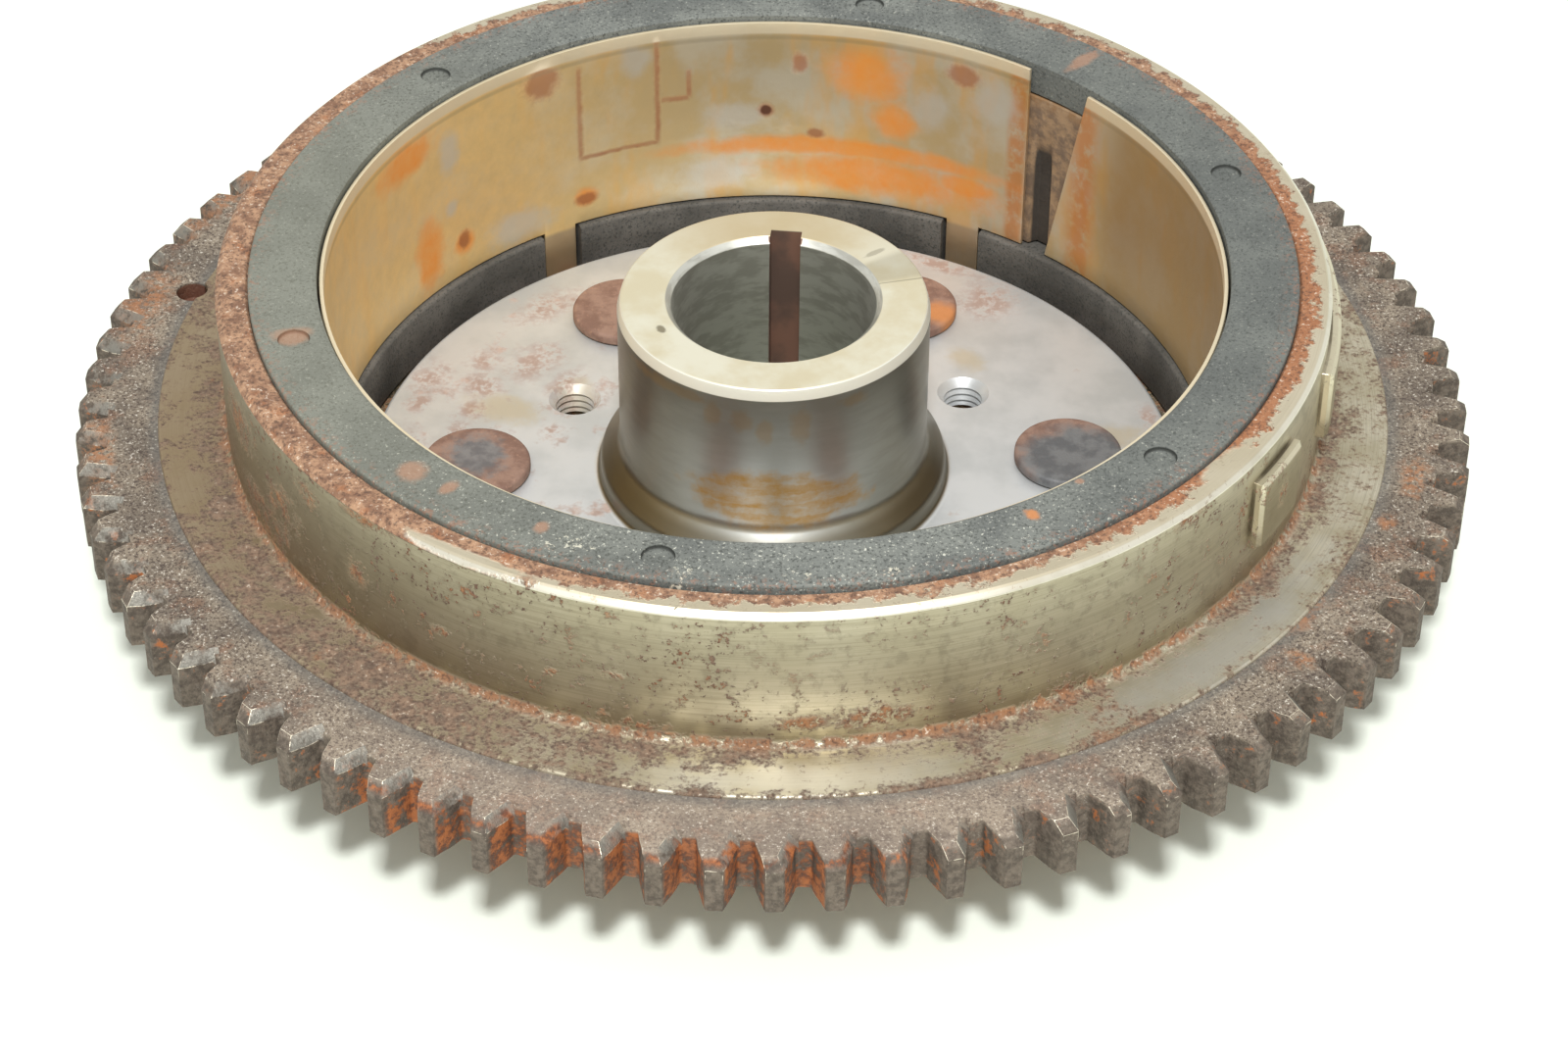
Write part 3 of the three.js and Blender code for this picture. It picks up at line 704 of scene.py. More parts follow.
rivet_bore = ((0, 3), (SHANK + CLEARANCE, 3), (SHANK + CLEARANCE, 10), (0, 10))
cut(hub, round_cutters("rivet_bores", rivet_bore, RIVET_COUNT, RIVET_CIRCLE, RIVET_ANGLE))
cut(hub, round_cutters("tapped_holes", tapped_hole, PULLER_COUNT, PULLER_CIRCLE, PULLER_ANGLE))
key_half, key_angle = KEY_WIDTH / 2, math.radians(KEY_ANGLE)
key_cutter = prism("key_cutter", ((0, -key_half), (KEY_REACH, -key_half), (KEY_REACH, key_half), (0, key_half)), -5, 60)
key_cutter.data.transform(Matrix.Rotation(key_angle, 4, "Z"))
cut(hub, key_cutter)
report(hub)

# %% [markdown]
# ## Six rivets
#
# Each rivet was pressed cold, so its head is low, wide and nearly flat, with a soft edge and a slightly
# hollow middle. One rivet is turned on its own axis, and the tree repeats it.

# %% The rivets
rivet = turned(
    "rivet",
    outline(
        (0, RIVET_BOTTOM),
        (5.2, RIVET_BOTTOM, 0.2),
        (SHANK, 1.6, 0.2),
        (SHANK, HUB_FLANGE_TOP + CLEARANCE),
        (RIVET_HEAD, HUB_FLANGE_TOP + CLEARANCE, 0.15),
        (RIVET_HEAD, RIVET_TOP, 0.5),
        (RIVET_HEAD - 1.8, RIVET_TOP),
        (RIVET_HEAD - 2.6, RIVET_TOP - 0.05),
        (0, RIVET_TOP - 0.12),
    ),
    steps=64,
)
rivets = copies_round("flange_rivets", rivet, RIVET_COUNT, RIVET_CIRCLE, RIVET_ANGLE)
report(rivets)

# %% [markdown]
# ## The sleeve over the magnets
#
# A strip of thin sheet steel is rolled into a sleeve that shields the magnets from the coils. Its ends don't
# quite meet, and they leave a wedge that narrows downward. Six tabs reach down between the spacers. The
# strip is drawn as a sheet of faces on a cylinder, and Solidify then gives it its thickness.

# %% The sleeve
SHEET, TAB_BOTTOM, TAB_HALF = 0.5, 4.9, 2.5
SEAM_MIDDLE, SEAM_LEFT, SEAM_RIGHT_TOP, SEAM_RIGHT_BOTTOM = 48, 52.7, 42.6, 48.6


def sleeve_sheet():
    """The sleeve's outer face, from one side of the seam round to the other."""
    tabs = [RIVET_ANGLE % 60 + 60 * k for k in range(7)]
    columns = list(np.arange(SEAM_LEFT, SEAM_RIGHT_TOP + 360, 1.5))
    edges = [t + s for t in tabs for s in (-TAB_HALF, TAB_HALF) if SEAM_LEFT < t + s < SEAM_RIGHT_TOP + 360]
    columns = np.unique(np.round(columns + edges + [SEAM_RIGHT_TOP + 360], 4))
    rows = [TAB_BOTTOM, 6.9, 8.9, 10.9] + list(np.linspace(COVER_FOOT_EDGE, COVER_TOP, 9))
    bm = bmesh.new()
    grid = {}
    for i, column in enumerate(columns):
        for j, row in enumerate(rows):
            share = (COVER_TOP - max(row, COVER_FOOT_EDGE)) / (COVER_TOP - COVER_FOOT_EDGE)
            lean = (SEAM_RIGHT_BOTTOM - SEAM_RIGHT_TOP) * share
            last = (column - (SEAM_RIGHT_TOP + 340)) / 20
            angle = math.radians(column + lean * max(0, last) ** 2)
            grid[i, j] = bm.verts.new((COVER_RADIUS * MM * math.cos(angle), COVER_RADIUS * MM * math.sin(angle), row * MM))
    for i in range(len(columns) - 1):
        middle = (columns[i] + columns[i + 1]) / 2
        on_tab = any(abs(middle - t) < TAB_HALF for t in tabs)
        for j in range(len(rows) - 1):
            if on_tab or rows[j] >= COVER_FOOT_EDGE:
                bm.faces.new((grid[i, j], grid[i + 1, j], grid[i + 1, j + 1], grid[i, j + 1]))
    bmesh.ops.delete(bm, geom=[v for v in bm.verts if not v.link_faces], context="VERTS")
    return finish_mesh("magnet_sleeve", bm)


COVER_FOOT_EDGE = 12.9
sleeve = sleeve_sheet()
solid = sleeve.modifiers.new("sheet", "SOLIDIFY")
solid.thickness, solid.offset = SHEET * MM, -1
plain_mesh(sleeve)
round_edges(sleeve, 0.14)
sleeve.data.set_sharp_from_angle(angle=math.radians(32))
report(sleeve)

# %% [markdown]
# ## Moulded rings
#
# A black moulded ring closes the top of the magnets, and six moulded arcs hold them up from below. The top
# ring's ejector pins left six shallow dimples. Each is cut by a low dome, so one side of its rim throws a
# crescent of shadow. The arcs below are one template, repeated by the tree.

# %% The top ring and the lower spacers
MAGNET_FROM, MAGNET_TO = 56.9, 65.1
WALL_GAP, GAP_MIDDLE, GAP_HALF = 0.45, math.radians(-88), math.radians(34)


def pull_in(radius, angle, height):
    """The ring's outer side fits the drum's wall, but it stands off along one arc."""
    away = np.abs((angle - GAP_MIDDLE + math.pi) % (2 * math.pi) - math.pi)
    share = np.clip(1 - away / GAP_HALF, 0, 1)
    return np.where(radius > MAGNET_TO - 1, radius - WALL_GAP * share * share * (3 - 2 * share), radius), angle, height


top_ring = turned(
    "top_moulding",
    outline(
        (MAGNET_FROM, RING_BOTTOM, 0.2),
        (WALL_INNER - 0.04, RING_BOTTOM, 0.2),
        (WALL_INNER - 0.04, RING_TOP, 0.35),
        (MAGNET_FROM + 0.5, RING_TOP - 0.03, 0.1),
        (MAGNET_FROM, RING_TOP - 0.25, 0.12),
    ),
    steps=300,
    shape=pull_in,
)
pin = turned("pin", outline((0, RING_TOP - 0.75), (1.2, RING_TOP - 0.7, 0.4), (1.95, RING_TOP - 0.5, 0.3), (2.05, RING_TOP + 1), (0, RING_TOP + 1)), steps=36)
cut(top_ring, copies_round("ejector_dimples", pin, 6, 61.0, 18))
report(top_ring)

arc_angles = np.linspace(-27, 27, 37)
arc = turned(
    "arc",
    outline((55.4, SPACER_BOTTOM, 0.3), (MAGNET_TO, SPACER_BOTTOM, 0.3), (MAGNET_TO, SPACER_TOP, 0.4), (55.4, SPACER_TOP, 0.5)),
    arc_angles,
    closed=False,
)
spacers = copies_round("lower_moulding", arc, 6, first=RIVET_ANGLE + 30)
report(spacers)

# %% [markdown]
# ## Magnets and resin
#
# Six ceramic magnets stand behind the sleeve, with bars of brown resin between them. One bar shows through
# the sleeve's seam, where the resin shrank back in a slot as it set. The slot is part of the bar's outline
# on every bar, so one template still serves.

# %% The magnets and the resin bars
MAGNET_HALF, BAR_HALF = 24.5, 5.2


def upright_arc(name, half, steps, slot=0.0):
    """An arc of the magnet ring. With a slot, its inner face sinks near one edge."""
    angles = np.linspace(-half, half, steps)

    def sink(radius, angle, height):
        near = np.abs(np.degrees(angle) - 2.4)
        depth = slot * np.clip(1.6 - near, 0, 0.5) * 2 * np.clip((30 - height) / 4, 0, 1)
        return radius + np.where(radius < MAGNET_FROM + 0.4, depth, 0), angle, height

    profile = outline(
        (MAGNET_FROM, MAGNET_BOTTOM, 0.25),
        (MAGNET_TO, MAGNET_BOTTOM, 0.25),
        (MAGNET_TO, MAGNET_TOP, 0.25),
        (MAGNET_FROM, MAGNET_TOP, 0.25),
        *along((MAGNET_FROM, MAGNET_TOP - 1), (MAGNET_FROM, MAGNET_BOTTOM + 1), 8),
    )
    return turned(name, profile, angles, shape=sink if slot else None, closed=False)


magnets = copies_round("ceramic_magnets", upright_arc("magnet", MAGNET_HALF, 36), 6, first=18)
resin = copies_round("resin_bars", upright_arc("bar", BAR_HALF, 40, slot=1.2), 6, first=48)
report(magnets)
report(resin)

# %% [markdown]
# ## Paint as Python sums
#
# A shader graph is a sum drawn with boxes. The class `Wire` holds one output socket, and the usual Python
# operators on it add Math nodes, so a mask reads like a formula. The class `Finish` holds one material. It
# knows where a point lies in a turner's terms: its radius, its angle about the axis and its height.

# %% Wires and finishes
class Wire:
    """One value in a shader graph. Sums on it add Math nodes."""

    def __init__(self, finish, socket):
        self.finish, self.socket = finish, socket

    def math(self, operation, *values):
        return self.finish.add("ShaderNodeMath", {"operation": operation}, values)

    def __add__(self, other):
        return self.math("ADD", self, other)

    __radd__ = __add__

    def __sub__(self, other):
        return self.math("SUBTRACT", self, other)

    def __rsub__(self, other):
        return self.math("SUBTRACT", other, self)

    def __mul__(self, other):
        return self.math("MULTIPLY", self, other)

    __rmul__ = __mul__

    def __truediv__(self, other):
        return self.math("DIVIDE", self, other)

    def __pow__(self, other):
        return self.math("POWER", self, other)

    def __abs__(self):
        return self.math("ABSOLUTE", self)

    def most(self, other):
        """The larger of two values."""
        return self.math("MAXIMUM", self, other)

    def least(self, other):
        """The smaller of two values."""
        return self.math("MINIMUM", self, other)

    def rise(self, low, high):
        """0 at `low` and 1 at `high`, and smooth between them. `high` may be the smaller one."""
        settings = {"interpolation_type": "SMOOTHSTEP"}
        return self.finish.add("ShaderNodeMapRange", settings, (self, low, high, 0.0, 1.0))

    def inside(self, low, high, soft):
        """1 between two values and 0 outside them, with edges that are `soft` wide."""
        return self.rise(low - soft, low + soft) * self.rise(high + soft, high - soft)


def tone(red, green, blue):
    """A colour given as a screen shows it, 0 to 255, as the linear light a shader wants."""
    shares = [v / 255 for v in (red, green, blue)]
    return tuple(v / 12.92 if v <= 0.04045 else ((v + 0.055) / 1.055) ** 2.4 for v in shares) + (1.0,)


class Finish:
    """One material, built from wires."""

    def __init__(self, name, specular=0.5):
        self.material = bpy.data.materials.new(name)
        self.material.use_nodes = True
        self.tree = self.material.node_tree
        self.shader = self.tree.nodes["Principled BSDF"]
        self.shader.inputs["Specular IOR Level"].default_value = specular
        place = self.add("ShaderNodeTexCoord", output="Object")
        self.place = place
        split = self.add("ShaderNodeSeparateXYZ", {}, (place,)).socket.node
        self.x, self.y, self.z = (Wire(self, split.outputs[i]) * 1000.0 for i in range(3))
        self.radius = (self.x * self.x + self.y * self.y) ** 0.5
        self.angle = self.y.math("ARCTAN2", self.y, self.x) * math.degrees(1)

    def add(self, kind, settings=None, inputs=(), output=0):
        """Any node: its settings are set first, then its inputs, by name or in order."""
        node = self.tree.nodes.new(kind)
        for key, value in (settings or {}).items():
            setattr(node, key, value)
        pairs = inputs.items() if isinstance(inputs, dict) else enumerate(inputs)
        for key, value in pairs:
            self.feed(node.inputs[key], value)
        return Wire(self, node.outputs[output])

    def feed(self, socket, value):
        if isinstance(value, Wire):
            self.tree.links.new(value.socket, socket)
        else:
            socket.default_value = value

    def mix(self, first, second, share):
        """A colour part of the way from one to another."""
        settings = {"data_type": "RGBA"}
        return self.add("ShaderNodeMix", settings, {0: share, 6: first, 7: second}, output=2)

    def cloud(self, size, detail=4.0, rough=0.6, seed=0.0, stretch=(1, 1, 1), where=None, twist=0.0):
        """Soft noise from 0 to 1, whose lumps are about `size` millimetres across."""
        scale = tuple(1000 / size * s if where is None else s / size for s in stretch)
        shift = {"Vector": where or self.place, "Location": (seed, seed * 1.7, seed * 0.6), "Scale": scale}
        moved = self.add("ShaderNodeMapping", {}, shift)
        settings = {"Vector": moved, "Scale": 1.0, "Detail": detail, "Roughness": rough, "Distortion": twist}
        return self.add("ShaderNodeTexNoise", {}, settings)

    def cells(self, size, seed=0.0, feature="F1", stretch=(1, 1, 1)):
        """Distance to the nearest of many scattered points about `size` millimetres apart."""
        scale = tuple(1000 / size * s for s in stretch)
        moved = self.add("ShaderNodeMapping", {}, {"Vector": self.place, "Location": (seed,) * 3, "Scale": scale})
        return self.add("ShaderNodeTexVoronoi", {"feature": feature}, {"Vector": moved, "Scale": 1.0})

    def tool_lines(self, pitch, across, wander=4.0, detail=3.0, seed=0.0):
        """Fine lines that run round the axis, as a lathe tool leaves them. `across` is radius or height."""
        where = self.add(
            "ShaderNodeCombineXYZ",
            {},
            (self.x / self.radius * wander, self.y / self.radius * wander, across / pitch),
        )
        return self.cloud(1.0, detail, 0.6, seed, where=where)

    def away(self, angle):
        """Degrees from an angle about the axis, from -180 to 180."""
        return self.z.math("WRAP", self.angle - angle, 180.0, -180.0)

    def patch(self, angle, across, half_angle, half_across, value, ragged=0.5, soft=0.25, grain=1.6, seed=0.0):
        """A ragged oval about an angle and a radius or height. `value` says which: self.radius or self.z."""
        oval = ((self.away(angle) / half_angle) ** 2.0 + ((value - across) / half_across) ** 2.0) ** 0.5
        torn = oval + (self.cloud(grain, 3.0, 0.6, seed + angle) - 0.5) * (2 * ragged)
        return torn.rise(1.0 + soft, 1.0 - soft)

    def patches(self, places, value, **style):
        """Several ragged ovals together. Each place is angle, radius or height, and the two half sizes."""
        found = None
        for place in places:
            one = self.patch(*place, value, **style)
            found = one if found is None else found.most(one)
        return found

    def bump(self, height, depth, under=None, strength=1.0):
        """A bumped normal. `depth` is how far a height of 1 stands, in millimetres."""
        inputs = {"Height": height, "Distance": depth * MM, "Strength": strength}
        if under is not None:
            inputs["Normal"] = under
        return self.add("ShaderNodeBump", {}, inputs)

    def attribute(self, name):
        """A number stored on the mesh."""
        return self.add("ShaderNodeAttribute", {"attribute_name": name}, (), "Fac")

    def done(self, colour, roughness, metallic, normal):
        """Connect the finished values to the shader."""
        self.feed(self.shader.inputs["Base Color"], colour)
        self.feed(self.shader.inputs["Roughness"], roughness)
        self.feed(self.shader.inputs["Metallic"], metallic)
        if normal is not None:
            self.feed(self.shader.inputs["Normal"], normal)
        print(f"{self.material.name}: {len(self.tree.nodes)} nodes")
        return self.material


def dress(piece, material, slot, *nodes):
    """Give a piece its material, and say which CAD nodes it stands for."""
    piece.data.materials.clear()
    piece.data.materials.append(material)
    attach(piece, "root")
    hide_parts(*nodes)

# %% [markdown]
# ## The drum's steel
#
# The drum was turned bright and left bare, so it shows fine rings from the tool, and then it rusted where the
# oil went first: blotches on the flange, a rusty upper rim and freckles low on the wall. Rust isn't a metal
# any more, so where its mask is 1 the metal is switched off and the surface turns rough. The rubbed chamfer
# of the rim stays bright.

# %% The drum's finish
steel = Finish("bare_turned_steel")
on_flange = steel.z.rise(23.2, 22.4) * steel.z.rise(21.2, 21.8)
on_rim = steel.z.rise(RIM - 0.3, RIM - 0.1)
rim_zone = steel.z.rise(RIM - RIM_CHAMFER - 0.2, RIM - RIM_CHAMFER - 0.05)
on_chamfer = rim_zone * (1 - on_rim)
below = steel.z.rise(14.6, 14.0)
wall = (1 - on_flange) * (1 - rim_zone)
across = steel.z + steel.radius
rings = steel.tool_lines(0.16, across, 5.0)
broad_rings = steel.tool_lines(1.1, across, 3.0, seed=4.0)
stain = steel.cloud(9.0, 4.0, 0.6)
speck = steel.cloud(0.55, 3.0, 0.7, seed=7.0)
crumb = steel.cloud(1.7, 4.0, 0.65, seed=3.0)
blotch = steel.cloud(7.0, 8.0, 0.74, seed=2.0, twist=0.3)
metal = steel.mix(tone(184, 175, 150), tone(206, 199, 180), stain.rise(0.36, 0.66))
metal = steel.mix(metal, tone(184, 175, 152), wall * 0.75)
metal = steel.mix(metal, tone(136, 128, 106), rings.rise(0.42, 0.7) * 0.4)
metal = steel.mix(metal, tone(140, 132, 110), wall * broad_rings.rise(0.35, 0.65) * 0.2)
left_share = steel.away(-172).rise(-80.0, -5.0) * steel.away(-172).rise(80.0, 5.0)
metal = steel.mix(metal, tone(132, 118, 96), wall * left_share * 0.75)
metal = steel.mix(metal, tone(150, 128, 98), on_flange * left_share * 0.8)
metal = steel.mix(metal, tone(136, 124, 90), steel.z.rise(27.0, 23.0) * wall * 0.4)

# %% [markdown]
# ## Where the drum rusts
#
# Rust comes in three sizes here: broad blotches whose edges are torn by fine noise, crumbs in clusters and
# single freckles. A few places are listed by angle and height, and everything else is left to noise.
# A veil of thin rust surrounds the thick rust, so the edge between metal and rust isn't a hard line.

# %% The drum's rust
brown_side = steel.patches(
    [(-160, 71.3, 26, 2.8), (-126, 74, 24, 5.0), (-71, 74, 2.4, 5.5), (-93, 71.4, 4.5, 1.6), (-20, 71, 24, 1.2),
     (-57, 70.6, 8, 1.4), (-35, 71.5, 2.2, 1.8), (-100, 78, 60, 1.2), (100, 73.5, 60, 4.5)],
    steel.radius,
    ragged=0.9,
    soft=0.7,
    grain=3.0,
)
bare_side = steel.patches([(-88, 75.5, 13, 2.4), (-45, 74.5, 15, 2.8)], steel.radius, ragged=0.8, soft=0.8, grain=3.0)
flange_field = blotch + brown_side * 0.13 - bare_side * 0.13 + (speck - 0.5) * 0.5 + (crumb - 0.5) * 0.35
flange_rust = flange_field.rise(0.52, 0.67) * on_flange
foot_rust = steel.radius.rise(71.0, 69.8) * steel.z.inside(21.9, 23.3, 0.4) * (crumb + stain * 0.5).rise(0.62, 0.78)
cluster = steel.cloud(14.0, 2.0, 0.5, seed=11.0).rise(0.36, 0.56)
freckles = (speck * 0.8 + crumb * 0.75).rise(0.86, 0.94) * cluster
low_rust = steel.patches(
    [(-60, 23.2, 4.0, 1.0), (-80, 26, 3.6, 1.6), (-87, 25.6, 2.4, 0.9), (-103, 24, 3, 0.9), (-152, 26, 6, 2.6),
     (-141.5, 37.4, 1.6, 1.2), (-134, 31.4, 1.2, 2.0), (-123, 29.4, 1.2, 0.7), (-46, 40.4, 1.6, 1.0),
     (-132, 40.2, 3.0, 0.7), (-111, 29, 0.7, 0.7), (-105, 30.6, 1.2, 0.6), (-31, 33.4, 0.9, 1.6), (-147, 31, 3, 3),
     (-158, 35, 4, 3)],
    steel.z,
    ragged=1.0,
    soft=0.6,
    grain=1.6,
)
low_rust = low_rust * (crumb * 0.6 + speck * 0.6).rise(0.54, 0.66)
wall_rust = freckles.most(low_rust) * wall
outwards = steel.radius - WALL_INNER
rim_edge = steel.cloud(2.2, 5.0, 0.68, seed=5.0)
rusty_left = steel.away(-172).rise(-62.0, -34.0) * steel.away(-172).rise(70.0, 40.0)
rim_reach = 2.2 + rusty_left * 4.6 + (rim_edge - 0.5) * 6.0 + (speck - 0.5) * 1.6
rim_rust = (rim_reach - outwards).rise(-0.3, 0.4) * rim_zone
bare_gap = steel.patches([(-38, 67.6, 4.0, 1.8), (-88, 68.8, 6.0, 0.8), (-120, 68.6, 7, 0.9)], steel.radius, ragged=0.5)
rim_rust = rim_rust * (1 - bare_gap)
hidden_rust = below * (blotch + speck * 0.3).rise(0.56, 0.68)
rust = flange_rust.most(wall_rust).most(rim_rust).most(hidden_rust).most(foot_rust)

young = steel.cloud(3.2, 3.0, 0.6, seed=13.0)
rust_tone = steel.mix(tone(100, 84, 72), tone(130, 108, 90), crumb.rise(0.38, 0.62))
rust_tone = steel.mix(rust_tone, tone(148, 104, 72), young.rise(0.62, 0.76) * 0.6)
orange_rim = steel.away(-20).rise(-46.0, -22.0) * steel.away(-20).rise(64.0, 26.0)
rim_tone = steel.mix(tone(120, 88, 68), tone(166, 130, 102), crumb.rise(0.36, 0.64))
rim_tone = steel.mix(rim_tone, tone(150, 96, 60), (young.rise(0.56, 0.70) * 0.6).most(orange_rim * 0.75))
freckle_tone = steel.mix(tone(122, 84, 64), tone(176, 120, 74), young.rise(0.42, 0.58))
rust_tone = steel.mix(rust_tone, freckle_tone, wall * 0.8)
rust_tone = steel.mix(rust_tone, rim_tone, rim_zone)
rust_tone = steel.mix(rust_tone, tone(138, 96, 64), low_rust.most(foot_rust) * (1 - rim_zone) * 0.65)
rust_tone = steel.mix(rust_tone, tone(70, 52, 44), speck.rise(0.51, 0.64) * 0.7)
rust_tone = steel.mix(rust_tone, tone(212, 198, 180), speck.rise(0.40, 0.33) * 0.65)

# %% [markdown]
# ## The drum's bright edges
#
# The chamfer round the rim was rubbed bright. The bevels and upper sides of the pads get a painted highlight, and the
# wall is darker in a narrow band round each pad.

# %% The drum's edges and its finished material
metal = steel.mix(metal, tone(116, 109, 92), wall * crumb.rise(0.46, 0.64) * 0.32)
metal = steel.mix(metal, tone(202, 202, 198), bare_side * on_flange * 0.7)
metal = steel.mix(metal, tone(228, 223, 208), on_chamfer * (0.7 + stain.rise(0.40, 0.60) * 0.3))
metal = steel.mix(metal, tone(222, 210, 184), on_rim * 0.6)
on_pad = steel.radius.rise(WALL_OUTER + 0.25, WALL_OUTER + 0.4)
pad_face = steel.radius.rise(WALL_OUTER + PAD_PROUD - 0.12, WALL_OUTER + PAD_PROUD - 0.02)
# Painted highlight: the pads' bevels and upper sides are painted pale, as if lit from above.
pad_painted_highlight = wall * on_pad * (1 - pad_face) * steel.z.rise(29.5, 31.5)
metal = steel.mix(metal, tone(222, 214, 188), pad_painted_highlight * 0.8)
metal = steel.mix(metal, tone(150, 138, 106), pad_face * wall * steel.z.rise(24.0, 25.0) * 0.5)
# The wall is darker in a narrow band round each pad.
near_pad = steel.patches([(-31, 33, 5.2, 6.2), (-1.2, 33, 15.6, 6.2)], steel.z, ragged=0.05, soft=0.12)
pad_dark_margin = near_pad * (1 - on_pad) * wall
metal = steel.mix(metal, tone(92, 82, 62), pad_dark_margin * 0.7)
veil = (flange_field.rise(0.46, 0.58) * on_flange * 0.6).most(freckles * 0.5)
metal = steel.mix(metal, tone(142, 122, 100), veil)
height = rings * 0.25 + broad_rings * 0.05 + rust * (0.5 + speck * 1.8 + crumb * 1.0)
normal = steel.bump(height, 0.06)
shine = 0.32 + rings * 0.12 + veil * 0.3 + on_flange * 0.08 + rust * 0.45
drum_steel = steel.done(steel.mix(metal, rust_tone, rust), shine, (1 - rust) * 0.9 - veil * 0.3, normal)

# %% [markdown]
# ## The ring gear's rust
#
# The gear wears an even coat of dark rust with a sandy sparkle where the surface breaks up. The starter's
# pinion has polished the lead-in bevels and the corners, which is what the mesh's edge mark is for. Young
# orange rust sits in the gaps, so it is painted by radius: outside the root circle but not on the top.

# %% The gear's finish
gear_paint = Finish("rusted_gear_steel", specular=0.4)
g = gear_paint
mottle = g.cloud(7.0, 5.0, 0.62, seed=1.0)
sand = g.cloud(0.36, 2.0, 0.75, seed=6.0)
grit = g.cloud(1.0, 4.0, 0.7, seed=8.0)
base = g.mix(tone(105, 95, 84), tone(140, 128, 112), mottle.rise(0.36, 0.66))
base = g.mix(base, tone(122, 90, 70), g.cloud(5.0, 6.0, 0.72, seed=12.0).rise(0.52, 0.64) * 0.6)
base = g.mix(base, tone(62, 50, 45), sand.rise(0.51, 0.62) * 0.85)
base = g.mix(base, tone(214, 208, 196), sand.rise(0.39, 0.31) * 0.8)
lighter = g.away(-90).rise(-55.0, -15.0) * g.away(-90).rise(45.0, 10.0)
base = g.mix(base, tone(172, 156, 142), lighter * 0.28)
smudge = g.cloud(4.4, 5.0, 0.7, seed=21.0)
base = g.mix(base, tone(80, 70, 65), smudge.rise(0.55, 0.68) * 0.5)
near_bore = g.radius.rise(80.4, 78.4)
base = g.mix(base, tone(92, 94, 92), near_bore * (0.2 + mottle * 0.5))
hollow = g.z.rise(GEAR_TOP - 0.1, GEAR_TOP - 0.7) * g.radius.rise(ROOT_RADIUS - 0.3, ROOT_RADIUS + 0.1)
fresh = g.cloud(3.6, 6.0, 0.72, seed=3.0)
front_teeth = g.away(-99).rise(-30.0, -16.0) * g.away(-99).rise(26.0, 14.0)
gap_orange = hollow * (fresh + front_teeth * 0.17 + (grit - 0.5) * 0.5).rise(0.57, 0.68)
gap_orange = gap_orange * g.radius.rise(TIP_RADIUS - 0.1, TIP_RADIUS - 0.9)
# Painted shade: the teeth's upright faces and the gaps get a darker tone than the top, since less of the light from
# above reaches them.
painted_shade_side_tone = g.mix(tone(70, 61, 53), tone(106, 95, 84), grit.rise(0.36, 0.64))
base = g.mix(base, painted_shade_side_tone, hollow * 0.9)
orange = g.mix(tone(98, 58, 40), tone(160, 96, 54), (fresh + grit - 0.5).rise(0.42, 0.66))
base = g.mix(base, orange, gap_orange)
spots = g.patches(
    [(-35.5, 78.0, 2.2, 1.3), (-20, 80.2, 0.9, 1.1), (-40.5, 82, 0.7, 1.6), (168.5, 84.4, 4.5, 2.6), (-170, 85.5, 5, 1.6),
     (-13, 82, 2.5, 1.5), (150, 86, 8, 2.0)],
    g.radius,
    ragged=1.0,
    soft=0.7,
)
base = g.mix(base, tone(158, 108, 72), spots * grit.rise(0.40, 0.56) * 0.7)
drilled = g.patch(JOINT_HOLE_ANGLE, JOINT_HOLE_CIRCLE, 2.0, 2.6, g.radius, ragged=0.1, soft=0.2)
base = g.mix(base, tone(104, 62, 44), drilled * g.z.rise(GEAR_TOP - 0.1, GEAR_TOP - 0.4) * 0.85)

# %% [markdown]
# ## Polish on the teeth
#
# The mesh carries two marks, one on the rounded corners and one on the lead-in bevels. Noise breaks both up,
# so only some corners shine, and the bevels show grey metal with rust left in their pits.

# %% The polished corners and the gear's finished material
worn_area = g.cloud(5.0, 3.0, 0.6, seed=17.0)
rubbed = g.attribute("edge") * g.radius.rise(ROOT_RADIUS - 0.2, ROOT_RADIUS + 0.6) * g.z.rise(GEAR_TOP - 3.0, GEAR_TOP - 2.0)
rubbed = rubbed * (grit * 0.7 + worn_area * 0.8).rise(0.76, 0.86)
polished = g.attribute("bevel") * (worn_area * 0.8 + grit * 0.6).rise(0.60, 0.80)
base = g.mix(base, tone(134, 132, 124), polished * 0.8)
base = g.mix(base, tone(226, 216, 196), rubbed)
bare = rubbed.most(polished * 0.7)
gear_normal = g.bump(sand * 0.9 + grit * 1.3 + mottle * 0.6, 0.13)
gear_gloss = 0.78 - bare * 0.36 - sand.rise(0.37, 0.28) * 0.3
gear_steel = g.done(base, gear_gloss, bare * 0.85, gear_normal)

# %% [markdown]
# ## The hub's steel
#
# The hub was machined all over and stayed oily, so it is the cleanest piece: a satin pale flange, a dark
# olive nose with a golden stain where water stood, and a nose face as pale as straw. Each zone is picked by
# radius and height. The bore is dark and glossy from the crankshaft, and the keyway holds brown rust.

# %% The hub's finish
hub_paint = Finish("machined_hub_steel")
h = hub_paint
on_face = h.z.rise(HUB_TOP - 0.12, HUB_TOP - 0.02)
nose_bevel = h.z.rise(HUB_TOP - 1.6, HUB_TOP - 1.45) * h.radius.rise(HUB_RADIUS - 1.2, HUB_RADIUS - 0.8) * (1 - on_face)
in_bore = h.radius.rise(14.2, 13.6) * h.z.rise(HUB_TOP + 1, HUB_TOP - 0.2) * (1 - on_face)
in_key = h.radius.inside(13.1, 17, 0.1) * h.away(KEY_ANGLE).inside(-9.4, 9.4, 0.4) * (1 - on_face)
side = h.radius.rise(COLLAR_RADIUS + 0.7, COLLAR_RADIUS + 0.2) * (1 - on_face) * (1 - nose_bevel) * (1 - in_bore)
plate = h.radius.rise(COLLAR_RADIUS + 0.2, COLLAR_RADIUS + 0.7)
